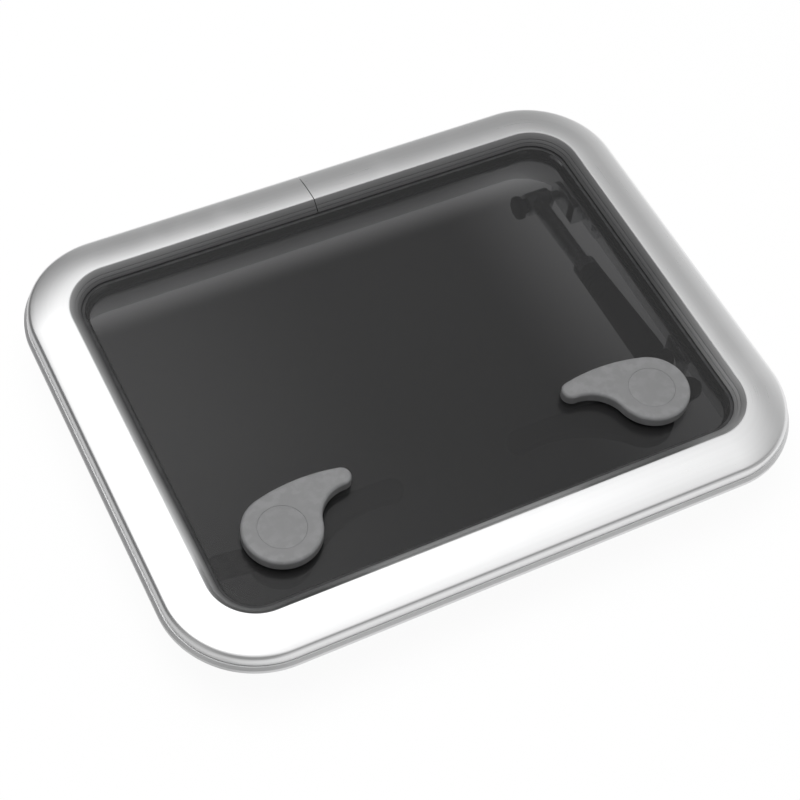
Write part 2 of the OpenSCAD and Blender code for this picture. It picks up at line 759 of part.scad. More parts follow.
module thrust_washer(side) {
    color(steel) on_hub(side, washer_z) difference() {
        cylinder(h = washer_t, r = dog_hub_r);
        translate([0, 0, -cut]) cylinder(h = washer_t + 2 * cut, r = spindle_r + fix_gap);
    }
}

module locking_dog(side) {
    tip_r = dog_w / 2;
    color(steel) on_hub(side, dog_z) difference() {
        union() {
            cylinder(h = washer_z - dog_z, r = dog_hub_r);
            rotate([0, 0, 180 - dog_angle]) {
                span([0, -tip_r, 0], [dog_len - tip_r, tip_r, dog_t]);
                translate([dog_len - tip_r, 0, 0]) cylinder(h = dog_t, r = tip_r);
            }
        }
        translate([0, 0, -cut]) cylinder(h = washer_z - dog_z + 2 * cut, r = spindle_r + fix_gap);
    }
}

module inner_lever(side) {
    color(black) on_hub(side, 0) difference() {
        translate([0, 0, lever_z]) rotate([0, 0, lever_angle])
            linear_extrude(lever_t)
                teardrop(lever_hub_r, lever_tip_r, lever_reach, lever_hollow_r, lever_bow_r);
        translate([0, 0, spindle_bot]) cylinder(h = lever_t + cut, r = spindle_r + fix_gap);
        translate([0, 0, lever_z - cut]) cylinder(h = lever_t, r = grip_screw_r + fix_gap);
    }
}

module lever_screw(side) {
    color(steel) on_hub(side, lever_z) rotate([180, 0, 0]) {
        cylinder(h = lever_head_t, r = lever_head_r);
        translate([0, 0, -grip_screw_len]) cylinder(h = grip_screw_len + lever_head_t / 2, r = grip_screw_r);
    }
}

// Carries a piece drawn up the Z axis onto the stay, from its base pivot to its lid pivot
module along_stay() {
    translate([stay_x, rear_y, rear_z]) rotate([90 - stay_tilt, 0, 0]) children();
}

module stay_base_bracket() {
    low = rear_z - arm_h / 2;
    high = rear_z + arm_h / 2;
    color(steel) difference() {
        union() {
            span([coaming_x - bracket_t, bracket_y - bracket_len, low], [coaming_x, bracket_y, high]);
            span([arm_x, bracket_y - bracket_web, low], [coaming_x, bracket_y, high]);
            span([arm_x, bracket_y - bracket_web, low], [arm_x + arm_t, rear_y, high]);
            bar_x(arm_x, arm_x + arm_t, rear_y, rear_z, arm_h / 2);
        }
        for (y = stay_screw_ys)
            bar_x(coaming_x - bracket_t - cut, coaming_x + cut, y, rear_z, screw_r + fix_gap);
        bar_x(arm_x - cut, arm_x + arm_t + cut, rear_y, rear_z, base_pin_r + fix_gap);
    }
}

module stay_base_screws() {
    color(steel) for (y = stay_screw_ys) translate([coaming_x - bracket_t, y, rear_z])
        rotate([0, -90, 0]) pan_screw(bracket_t + coaming_t);
}

module stay_base_pin() {
    color(steel) {
        bar_x(knob_end_x - knob_len * 0.6, arm_x + arm_t, rear_y, rear_z, base_pin_r);
        bar_x(pin_collar_x, pin_collar_x + pin_collar_t, rear_y, rear_z, base_pin_r + 2);
    }
}

module stay_pin_knob() {
    neck = knob_r * 0.6;
    color(black) translate([knob_end_x, rear_y, rear_z]) rotate([0, -90, 0]) difference() {
        rotate_extrude() polygon([
            [0, 0], [neck, 0], [neck, knob_len * 0.3], [knob_r, knob_len * 0.45],
            [knob_r, knob_len * 0.85], [knob_r - knob_len * 0.15, knob_len], [0, knob_len]
        ]);
        translate([0, 0, -cut]) cylinder(h = knob_len * 0.6 + cut + fix_gap, r = base_pin_r + fix_gap);
    }
}

module stay_rod() {
    color(steel) difference() {
        union() {
            bar_x(stay_x - head_len / 2, stay_x + head_len / 2, rear_y, rear_z, head_r);
            along_stay() cylinder(h = rod_end, r = rod_r);
        }
        bar_x(stay_x - head_len / 2 - cut, stay_x + head_len / 2 + cut, rear_y, rear_z, base_pin_r + run_gap);
    }
}

module stay_tube() {
    mouth = tube_start + collar_len;
    color(black) difference() {
        union() {
            along_stay() rotate_extrude() polygon([
                [0, mouth], [tube_mouth_r, mouth], [tube_r, tube_end - 10], [tube_r, tube_end - 3],
                [tube_r - 3, tube_end], [0, tube_end]
            ]);
            bar_x(stay_x - block_r, tube_block_x, front_y, front_z, block_r);
        }
        along_stay() translate([0, 0, mouth - cut]) cylinder(h = bore_end - mouth + cut, r = rod_r + rod_gap);
        bar_x(tube_block_x - stud_depth, tube_block_x + cut, front_y, front_z, stud_r + fix_gap);
    }
}

module stay_collar() {
    color(steel) along_stay() translate([0, 0, tube_start]) difference() {
        cylinder(h = collar_len, r = tube_mouth_r);
        translate([0, 0, -cut]) cylinder(h = collar_len + 2 * cut, r = rod_r + run_gap);
    }
}

module stay_stud() {
    color(steel) bar_x(tube_block_x - stud_depth, stud_end_x, front_y, front_z, stud_r);
}

module stay_stud_clip() {
    x = slot_plate_x + bracket_t + pass_gap;
    color(steel) difference() {
        bar_x(x, x + clip_t, front_y, front_z, clip_r);
        bar_x(x - cut, x + clip_t + cut, front_y, front_z, stud_r + fix_gap);
    }
}

module stay_lid_bracket() {
    slot_r = stud_r + slot_gap;
    low_y = slot_far[0] - slot_r - 5;
    high_y = front_y + slot_r + 5;
    x1 = slot_plate_x + bracket_t;
    run = [slot_far[0] - front_y, slot_far[1] - front_z];
    color(steel) difference() {
        union() {
            span([slot_plate_x, low_y, slot_far[1] - slot_r - 4], [x1, high_y, lip_z]);
            span([slot_plate_x, low_y, lip_z - bracket_t], [slot_plate_x + lid_bracket_len, high_y, lip_z]);
        }
        bar_x(slot_plate_x - cut, x1 + cut, front_y, front_z, slot_r);
        bar_x(slot_plate_x - cut, x1 + cut, slot_far[0], slot_far[1], slot_r);
        translate([slot_plate_x - cut, front_y, front_z]) rotate([atan2(run[1], run[0]), 0, 0])
            translate([0, 0, -slot_r]) cube([bracket_t + 2 * cut, norm(run), 2 * slot_r]);
        for (y = lid_bracket_ys) translate([lid_bracket_screw_x, y, lip_z - bracket_t - cut])
            cylinder(h = bracket_t + 2 * cut, r = lid_screw_r + fix_gap);
    }
}

module stay_lid_screws() {
    color(steel) for (y = lid_bracket_ys) translate([lid_bracket_screw_x, y, lip_z - bracket_t])
        rotate([180, 0, 0]) small_screw(bracket_t + lip_screw_len);
}

base_frame();
hinge_base_leaf(-1);  // hinge_base_leaf_left
hinge_base_leaf(1);  // hinge_base_leaf_right
hinge_base_screws();
hinge_pin(-1);  // hinge_pin_left
hinge_pin(1);  // hinge_pin_right
keeper(-1);  // keeper_left
keeper(1);  // keeper_right
keeper_screws();
stay_base_bracket();
stay_base_pin();
stay_pin_knob();
stay_base_screws();
lid_frame();
joint_key();
joint_key_rivets();
pane();
pane_gasket();
lid_seal();
hinge_lid_leaf(-1);  // hinge_lid_leaf_left
hinge_lid_leaf(1);  // hinge_lid_leaf_right
hinge_lid_screws();
handle_bush(-1);  // handle_bush_left
handle_bush(1);  // handle_bush_right
bush_nut(-1);  // bush_nut_left
bush_nut(1);  // bush_nut_right
stay_lid_bracket();
stay_lid_screws();
outer_handle(-1);  // outer_handle_left
handle_cap(-1);  // handle_cap_left
handle_screw(-1);  // handle_screw_left
spindle(-1);  // spindle_left
spindle_seal(-1);  // spindle_seal_left
thrust_washer(-1);  // thrust_washer_left
locking_dog(-1);  // locking_dog_left
inner_lever(-1);  // inner_lever_left
lever_screw(-1);  // lever_screw_left
outer_handle(1);  // outer_handle_right
handle_cap(1);  // handle_cap_right
handle_screw(1);  // handle_screw_right
spindle(1);  // spindle_right
spindle_seal(1);  // spindle_seal_right
thrust_washer(1);  // thrust_washer_right
locking_dog(1);  // locking_dog_right
inner_lever(1);  // inner_lever_right
lever_screw(1);  // lever_screw_right
stay_rod();
stay_tube();
stay_collar();
stay_stud();
stay_stud_clip();
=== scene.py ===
"""Looks of the low deck hatch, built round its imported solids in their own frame.

Sizes in the classes are millimetres in the row frame: the origin is the centre of the deck
plane, +X right, +Y to the hinges, +Z up. Meshes are made in metres.
"""

import json
import logging
import math
from dataclasses import dataclass
from enum import Enum
from typing import Optional, Sequence

import bmesh
import bpy
from mathutils import Matrix, Vector


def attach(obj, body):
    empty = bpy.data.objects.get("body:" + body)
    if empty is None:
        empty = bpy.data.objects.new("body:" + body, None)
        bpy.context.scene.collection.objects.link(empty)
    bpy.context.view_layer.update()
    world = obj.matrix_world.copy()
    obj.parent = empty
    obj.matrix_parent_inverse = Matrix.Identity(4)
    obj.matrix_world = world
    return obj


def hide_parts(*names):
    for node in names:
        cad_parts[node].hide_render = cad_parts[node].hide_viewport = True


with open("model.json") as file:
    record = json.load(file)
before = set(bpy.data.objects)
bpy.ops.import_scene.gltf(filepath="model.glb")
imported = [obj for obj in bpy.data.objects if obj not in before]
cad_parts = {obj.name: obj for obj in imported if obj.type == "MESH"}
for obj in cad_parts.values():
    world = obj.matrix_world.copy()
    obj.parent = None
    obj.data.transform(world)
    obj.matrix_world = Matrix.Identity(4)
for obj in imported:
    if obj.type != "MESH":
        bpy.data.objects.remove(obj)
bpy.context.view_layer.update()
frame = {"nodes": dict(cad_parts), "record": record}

LOG = logging.getLogger("hatch")
MM = 0.001
EDGE_MARK = "edge"
# Mesh attribute that holds a painted shade, from 0 to 1
SHADE_MARK = "shade"
UV_NAME = "run"
# Angle in degrees above which an edge stays sharp
SHARP_DEG = 38.0
# Vertices closer than this are one vertex, in metres
MERGE = 1e-7
# How far a cutter stands out of what it cuts
OVER = 1.0
# Keeps two roundings that meet from sharing a point
SHY = 0.01
# Depth of the finishes' fine skin, in metres
RELIEF = 0.0002
# Lays a drawing of Y and Z on its plane and stacks it along X
STACK_X = Matrix(((0, 0, 1, 0), (1, 0, 0, 0), (0, 1, 0, 0), (0, 0, 0, 1)))

Pair = tuple[float, float]
Triple = tuple[float, float, float]


class Body(Enum):
    """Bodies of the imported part."""

    BASE = "base"
    LID = "lid"
    HANDLE_LEFT = "handle_left"
    HANDLE_RIGHT = "handle_right"
    STAY_ARM = "stay_arm"
    STAY_SLIDER = "stay_slider"


class Slot(Enum):
    """Material slots of the record."""

    FRAME = "frame_aluminium"
    BARE = "bare_aluminium"
    STEEL = "steel"
    PANE = "smoked_pane"
    RUBBER = "black_rubber"
    HANDLE = "handle_grey"
    BLACK = "black_plastic"


class Side(Enum):
    """Side of the hatch, as the sign of X."""

    LEFT = -1
    RIGHT = 1

    @property
    def word(self) -> str:
        """Name of the side as the nodes use it."""
        return self.name.lower()

    @property
    def body(self) -> Body:
        """Body of this side's handle."""
        return Body.HANDLE_LEFT if self is Side.LEFT else Body.HANDLE_RIGHT


@dataclass(frozen=True)
class Mark:
    """A point of a section, with 1 where it turns a worn edge, and a painted shade that is 1 where it is
    darkest.
    """

    u: float
    v: float
    edge: float = 0.0
    shade: float = 0.0


@dataclass(frozen=True)
class Station:
    """A place on the hatch's outline, with the direction inwards and the way gone so far."""

    x: float
    y: float
    inx: float
    iny: float
    way: float


@dataclass(frozen=True)
class Rim:
    """A point of a flat outline with its outward normal."""

    x: float
    y: float
    nx: float
    ny: float


def rounded(corners: Sequence[Triple], closed: bool = True, steps: int = 4) -> list[Mark]:
    """Rounds the corners of a section.

    Args:
        corners: Points as (u, v, radius); a radius of 0 keeps the corner sharp.
        closed: Whether the section closes on itself.
        steps: Number of straight pieces in each rounding.

    Returns:
        The section's points, marked on the roundings.
    """
    marks: list[Mark] = []
    count = len(corners)
    for i, (u, v, radius) in enumerate(corners):
        inner = closed or 0 < i < count - 1
        if radius <= 0 or not inner:
            marks.append(Mark(u, v))
            continue
        here = Vector((u, v))
        before = (Vector(corners[i - 1][:2]) - here).normalized()
        after = (Vector(corners[(i + 1) % count][:2]) - here).normalized()
        half = before.angle(after) / 2
        reach = radius / math.tan(half)
        centre = here + (before + after).normalized() * (radius / math.sin(half))
        first = here + before * reach - centre
        last = here + after * reach - centre
        turn = first.angle_signed(last)
        for k in range(steps + 1):
            spoke = first.copy()
            spoke.rotate(Matrix.Rotation(-turn * k / steps, 2))
            marks.append(Mark(centre.x + spoke.x, centre.y + spoke.y, 1.0))
    return marks


def new_piece(
    name: str,
    verts: Sequence[Triple],
    faces: Sequence[Sequence[int]],
    edge: Sequence[float],
    place: Optional[Matrix] = None,
) -> bpy.types.Object:
    """Makes one mesh piece.

    Args:
        name: Name of the piece.
        verts: Vertices in millimetres.
        faces: Faces as vertex numbers.
        edge: Edge mark of each vertex.
        place: Transform into the row frame, in millimetres.

    Returns:
        The new object, linked to the scene.
    """
    mesh = bpy.data.meshes.new(name)
    matrix = place or Matrix.Identity(4)
    mesh.from_pydata([(matrix @ Vector(v)) * MM for v in verts], [], faces)
    mark = mesh.attributes.new(EDGE_MARK, "FLOAT", "POINT")
    mark.data.foreach_set("value", list(edge))
    tidy_mesh(mesh)
    piece = bpy.data.objects.new(name, mesh)
    bpy.context.scene.collection.objects.link(piece)
    return piece


def tidy_mesh(mesh: bpy.types.Mesh) -> None:
    """Turns the faces outwards and shades the mesh smooth between sharp edges.

    Args:
        mesh: Mesh to tidy.
    """
    work = bmesh.new()
    work.from_mesh(mesh)
    bmesh.ops.remove_doubles(work, verts=work.verts, dist=MERGE)
    bmesh.ops.recalc_face_normals(work, faces=work.faces)
    for face in work.faces:
        face.smooth = True
    work.to_mesh(mesh)
    work.free()
    mesh.set_sharp_from_angle(angle=math.radians(SHARP_DEG))
    mesh.update()


def sweep(
    name: str, section: Sequence[Mark], stations: Sequence[Station], closed: bool = True
) -> bpy.types.Object:
    """Carries a section round the hatch's outline.

    Args:
        name: Name of the piece.
        section: Closed section as inset and height.
        stations: Places on the outline.
        closed: Whether the run closes on itself; an open run is capped.

    Returns:
        The new piece, with a run map of way and girth in metres.
    """
    verts: list[Triple] = []
    edge: list[float] = []
    for s in stations:
        for m in section:
            verts.append((s.x + s.inx * m.u, s.y + s.iny * m.u, m.v))
            edge.append(m.edge)
    n = len(section)
    runs = len(stations) if closed else len(stations) - 1
    faces: list[list[int]] = []
    for i in range(runs):
        j = (i + 1) % len(stations)
        for k in range(n):
            m = (k + 1) % n
            faces.append([i * n + k, j * n + k, j * n + m, i * n + m])
    if not closed:
        faces.append(list(range(n)))
        faces.append([(len(stations) - 1) * n + k for k in range(n)])
    piece = new_piece(name, verts, faces, edge)
    # Carries each mark's painted shade onto the mesh
    shade = piece.data.attributes.new(SHADE_MARK, "FLOAT", "POINT")
    shade.data.foreach_set("value", [m.shade for m in section] * len(stations))
    girth = [0.0]
    for a, b in zip(section, list(section[1:]) + [section[0]]):
        girth.append(girth[-1] + math.hypot(b.u - a.u, b.v - a.v))
    layer = piece.data.uv_layers.new(name=UV_NAME)
    for face in piece.data.polygons:
        ids = [piece.data.loops[i].vertex_index for i in face.loop_indices]
        wrap_way = max(i // n for i in ids) - min(i // n for i in ids) > 1
        wrap_girth = max(i % n for i in ids) - min(i % n for i in ids) > 1
        for loop, vert in zip(face.loop_indices, ids):
            way = stations[vert // n].way
            if wrap_way and vert // n == 0:
                way = stations[-1].way + stations[1].way
            across = girth[n] if wrap_girth and vert % n == 0 else girth[vert % n]
            layer.data[loop].uv = (way * MM, across * MM)
    return piece


def prism(
    name: str, outline: Sequence[Rim], levels: Sequence[Triple], place: Optional[Matrix] = None
) -> bpy.types.Object:
    """Stacks an outline at several heights, drawn in at each, into one closed solid.

    Args:
        name: Name of the piece.
        outline: Closed outline.
        levels: Levels as (inset, height, edge mark), from the bottom up.
        place: Transform into the row frame.

    Returns:
        The new piece.
    """
    verts: list[Triple] = []
    edge: list[float] = []
    n = len(outline)
    for inset, height, mark in levels:
        for p in outline:
            verts.append((p.x - p.nx * inset, p.y - p.ny * inset, height))
            edge.append(mark)
    faces: list[list[int]] = [list(range(n)), [(len(levels) - 1) * n + k for k in range(n)]]
    for i in range(len(levels) - 1):
        for k in range(n):
            m = (k + 1) % n
            faces.append([i * n + k, i * n + m, (i + 1) * n + m, (i + 1) * n + k])
    return new_piece(name, verts, faces, edge, place)


def soft_levels(low: float, high: float, under: float, over: float, steps: int = 4) -> list[Triple]:
    """Levels of a prism with a rounded lower and upper edge.

    Args:
        low: Lowest height.
        high: Highest height.
        under: Radius of the lower edge.
        over: Radius of the upper edge.
        steps: Number of straight pieces in each rounding.

    Returns:
        Levels as (inset, height, edge mark).
    """
    quarter = [math.pi / 2 * k / steps for k in range(steps + 1)]
    bottom = [(under * (1 - math.sin(a)), low + under * (1 - math.cos(a)), 1.0) for a in quarter]
    top = [(over * (1 - math.cos(a)), high - over * (1 - math.sin(a)), 1.0) for a in quarter]
    return bottom + top


def lathe(
    name: str,
    section: Sequence[Mark],
    place: Optional[Matrix] = None,
    steps: int = 64,
    closed: bool = False,
) -> bpy.types.Object:
    """Turns a section of radius and height about the Z axis.

    Args:
        name: Name of the piece.
        section: Points as radius and height; open sections start and end on the axis.
        place: Transform into the row frame.
        steps: Number of steps in a turn.
        closed: Whether the section closes on itself, as for a ring.

    Returns:
        The new piece.
    """
    verts: list[Triple] = []
    edge: list[float] = []
    n = len(section)
    for i in range(steps):
        a = 2 * math.pi * i / steps
        for m in section:
            verts.append((m.u * math.cos(a), m.u * math.sin(a), m.v))
            edge.append(m.edge)
    faces: list[list[int]] = []
    for i in range(steps):
        j = (i + 1) % steps
        for k in range(n if closed else n - 1):
            m = (k + 1) % n
            quad = [i * n + k, j * n + k, j * n + m, i * n + m]
            if section[k].u < 1e-6:
                quad = [i * n + k, j * n + m, i * n + m]
            elif section[m].u < 1e-6:
                quad = [i * n + k, j * n + k, i * n + m]
            faces.append(quad)
    return new_piece(name, verts, faces, edge, place)


def cut_away(piece: bpy.types.Object, *cutters: bpy.types.Object) -> None:
    """Cuts solids out of a piece's mesh and removes the cutters.

    Args:
        piece: Piece to cut.
        cutters: Solids to take away.
    """
    for cutter in cutters:
        step = piece.modifiers.new("cut", "BOOLEAN")
        step.operation = "DIFFERENCE"
        step.solver = "EXACT"
        step.object = cutter
    graph = bpy.context.evaluated_depsgraph_get()
    mesh = bpy.data.meshes.new_from_object(piece.evaluated_get(graph))
    piece.modifiers.clear()
    piece.data = mesh
    tidy_mesh(mesh)
    for cutter in cutters:
        bpy.data.objects.remove(cutter)


def joined(name: str, parts: Sequence[bpy.types.Object]) -> bpy.types.Object:
    """Joins several pieces into one mesh object.

    Args:
        name: Name of the new piece.
        parts: Pieces to join, which are removed.

    Returns:
        The joined piece.
    """
    work = bmesh.new()
    for part in parts:
        work.from_mesh(part.data)
    mesh = bpy.data.meshes.new(name)
    work.to_mesh(mesh)
    work.free()
    for part in parts:
        bpy.data.objects.remove(part)
    tidy_mesh(mesh)
    piece = bpy.data.objects.new(name, mesh)
    bpy.context.scene.collection.objects.link(piece)
    return piece


def copies(name: str, pattern: bpy.types.Object, places: Sequence[Matrix]) -> bpy.types.Object:
    """Joins copies of a small pattern piece and removes the pattern.

    Args:
        name: Name of the new piece.
        pattern: Piece to copy.
        places: Transforms into the row frame, in millimetres.

    Returns:
        The joined piece.
    """
    parts: list[bpy.types.Object] = []
    for place in places:
        part = bpy.data.objects.new(name, pattern.data.copy())
        moved = place.copy()
        moved.translation = place.translation * MM
        part.data.transform(moved)
        parts.append(part)
    bpy.data.objects.remove(pattern)
    return joined(name, parts)


def turned(place: Triple, axis: str, degrees: float) -> Matrix:
    """Transform that turns about an axis and then moves to a place."""
    return Matrix.Translation(place) @ Matrix.Rotation(math.radians(degrees), 4, axis)


def along_x(x: float, y: float, z: float) -> Matrix:
    """Transform that lays the Z axis along +X from a place."""
    return turned((x, y, z), "Y", 90.0)


def block(low: Triple, high: Triple, soft: float, name: str = "block") -> bpy.types.Object:
    """A box between two corners with softened upright and level edges.

    Args:
        low: Lowest corner.
        high: Highest corner.
        soft: Radius of the edges.
        name: Name of the piece.

    Returns:
        The new piece.
    """
    corners = [(low[0], low[1]), (high[0], low[1]), (high[0], high[1]), (low[0], high[1])]
    outline = flat_outline([(x, y, max(soft, 0.05)) for x, y in corners])
    return prism(name, outline, soft_levels(low[2], high[2], soft * 0.7, soft * 0.7, 2))


def plate_x(name: str, corners: Sequence[Triple], x0: float, x1: float, soft: float) -> bpy.types.Object:
    """A plate drawn as Y and Z and stacked along X, with softened edges.

    Args:
        name: Name of the piece.
        corners: Corners as (y, z, radius), counter-clockwise seen from +X.
        x0: Where the plate starts.
        x1: Where it ends.
        soft: Radius of its edges.

    Returns:
        The new piece.
    """
    return prism(name, flat_outline(corners), soft_levels(x0, x1, soft, soft, 2), STACK_X)


def round_bar(
    name: str, length: float, radius: float, soft: float, place: Matrix, bore: float = 0.0, steps: int = 48
) -> bpy.types.Object:
    """A round bar or ring up the Z axis with softened ends.

    Args:
        name: Name of the piece.
        length: Its length.
        radius: Its radius.
        soft: Radius of its end edges.
        place: Transform into the row frame.
        bore: Radius of its bore, or 0 for a solid bar.
        steps: Number of steps in a turn.

    Returns:
        The new piece.
    """
    corners = [(bore, 0.0, 0.0), (radius, 0.0, soft), (radius, length, soft), (bore, length, 0.0)]
    hollow = bore > 0
    return lathe(name, rounded(corners, closed=hollow, steps=3), place, steps, closed=hollow)


def pan_head(radius: float, height: float, recess: bool = True) -> bpy.types.Object:
    """A domed screw or rivet head on the XY plane, with a stub of shank below.

    Args:
        radius: Radius of the head.
        height: Height of the head.
        recess: Whether the head has a cross recess.

    Returns:
        The head, at the origin.
    """
    side, shank = 0.4 * height, 0.5 * radius
    marks = [Mark(0.0, -OVER), Mark(shank, -OVER), Mark(shank, 0.0), Mark(radius, 0.0)]
    steps, worn_steps = 6, 3
    for i in range(steps + 1):
        a = math.pi / 2 * i / steps
        rise = side + (height - side) * math.sin(a)
        marks.append(Mark(radius * math.cos(a), rise, 1.0 if i < worn_steps else 0.0))
    head = lathe("head", marks, None, 28)
    if recess:
        long, wide, deep = radius * 0.55, radius * 0.14, height * 0.45
        first = block((-long, -wide, deep), (long, wide, height + OVER), 0.0)
        second = block((-wide, -long, deep), (wide, long, height + OVER), 0.0)
        cut_away(head, first, second)
    return head


def flat_outline(corners: Sequence[Triple], steps: int = 4) -> list[Rim]:
    """Closed outline with rounded corners, counter-clockwise, with outward normals.

    Args:
        corners: Corners as (x, y, radius), counter-clockwise.
        steps: Number of straight pieces in each rounding.

    Returns:
        The outline's points.
    """
    marks = rounded(corners, True, steps)
    rims: list[Rim] = []
    n = len(marks)
    for i, m in enumerate(marks):
        a, b = marks[i - 1], marks[(i + 1) % n]
        before = Vector((m.u - a.u, m.v - a.v)).normalized()
        after = Vector((b.u - m.u, b.v - m.v)).normalized()
        out = Vector((before.y + after.y, -before.x - after.x)).normalized()
        rims.append(Rim(m.u, m.v, out.x, out.y))
    return rims


def ngon(radius: float, count: int, soft: float) -> list[Triple]:
    """Corners of a regular polygon, each with a radius, for a flat outline."""
    turns = [2 * math.pi * i / count for i in range(count)]
    return [(radius * math.cos(a), radius * math.sin(a), soft) for a in turns]


class Nodes:
    """Short hand for building one node tree."""

    def __init__(self, tree: bpy.types.NodeTree) -> None:
        """Keeps the tree and empties it."""
        self.tree = tree
        tree.nodes.clear()

    def add(self, kind: str, **settings: object) -> bpy.types.Node:
        """Adds a node.

        Args:
            kind: Blender's name of the node, after ShaderNode or in full.
            settings: Properties of the node.

        Returns:
            The new node.
        """
        full = kind if kind.startswith("Node") else "ShaderNode" + kind
        node = self.tree.nodes.new(full)
        for key, value in settings.items():
            setattr(node, key, value)
        return node

    def link(self, start: bpy.types.NodeSocket, end: bpy.types.NodeSocket) -> None:
        """Links two sockets."""
        self.tree.links.new(start, end)

    def fill(self, node: bpy.types.Node, values: dict[str | int, object]) -> None:
        """Sets inputs of a node.

        Args:
            node: Node to set.
            values: Sockets to link or values to set, by the input's name or number.
        """
        for key, value in values.items():
            if isinstance(value, bpy.types.NodeSocket):
                self.link(value, node.inputs[key])
            else:
                node.inputs[key].default_value = value

    def maths(self, operation: str, first: object, second: object) -> bpy.types.NodeSocket:
        """Adds a Math node.

        Args:
            operation: Name of the operation.
            first: Socket or number.
            second: Socket or number.

        Returns:
            The result's socket.
        """
        node = self.add("Math", operation=operation)
        self.fill(node, {0: first, 1: second})
        return node.outputs[0]

    def span(self, value: bpy.types.NodeSocket, source: Pair, target: Pair) -> bpy.types.NodeSocket:
        """Maps a value smoothly from one range to another.

        Args:
            value: Value to map.
            source: Range of the value.
            target: Range of the result.

        Returns:
            The result's socket.
        """
        node = self.add("MapRange", interpolation_type="SMOOTHSTEP")
        names = ("Value", "From Min", "From Max", "To Min", "To Max")
        self.fill(node, dict(zip(names, (value, *source, *target))))
        return node.outputs[0]

    def mix(self, share: bpy.types.NodeSocket, first: object, second: Triple) -> bpy.types.NodeSocket:
        """Mixes two colours.

        Args:
            share: Share of the second colour.
            first: Colour or socket.
            second: Colour.

        Returns:
            The mixed colour's socket.
        """
        node = self.add("Mix", data_type="RGBA")
        start = first if isinstance(first, bpy.types.NodeSocket) else (*first, 1.0)
        self.fill(node, {0: share, 6: start, 7: (*second, 1.0)})
        return node.outputs[2]

    def noise(self, vector: bpy.types.NodeSocket, scale: object, detail: float) -> bpy.types.Node:
        """Adds a noise texture.

        Args:
            vector: Its coordinates.
            scale: Its scale, as a socket or number.
            detail: Its detail.

        Returns:
            The texture's node.
        """
        node = self.add("TexNoise")
        self.fill(node, {"Vector": vector, "Scale": scale, "Detail": detail})
        return node

    def group(self, tree: bpy.types.NodeTree, vector: bpy.types.NodeSocket) -> bpy.types.Node:
        """Places a shared group and feeds it the vector.

        Args:
            tree: Group to place.
            vector: Coordinates to feed it.

        Returns:
            The group's node.
        """
        node = self.add("Group", node_tree=tree)
        self.link(vector, node.inputs["Vector"])
        return node


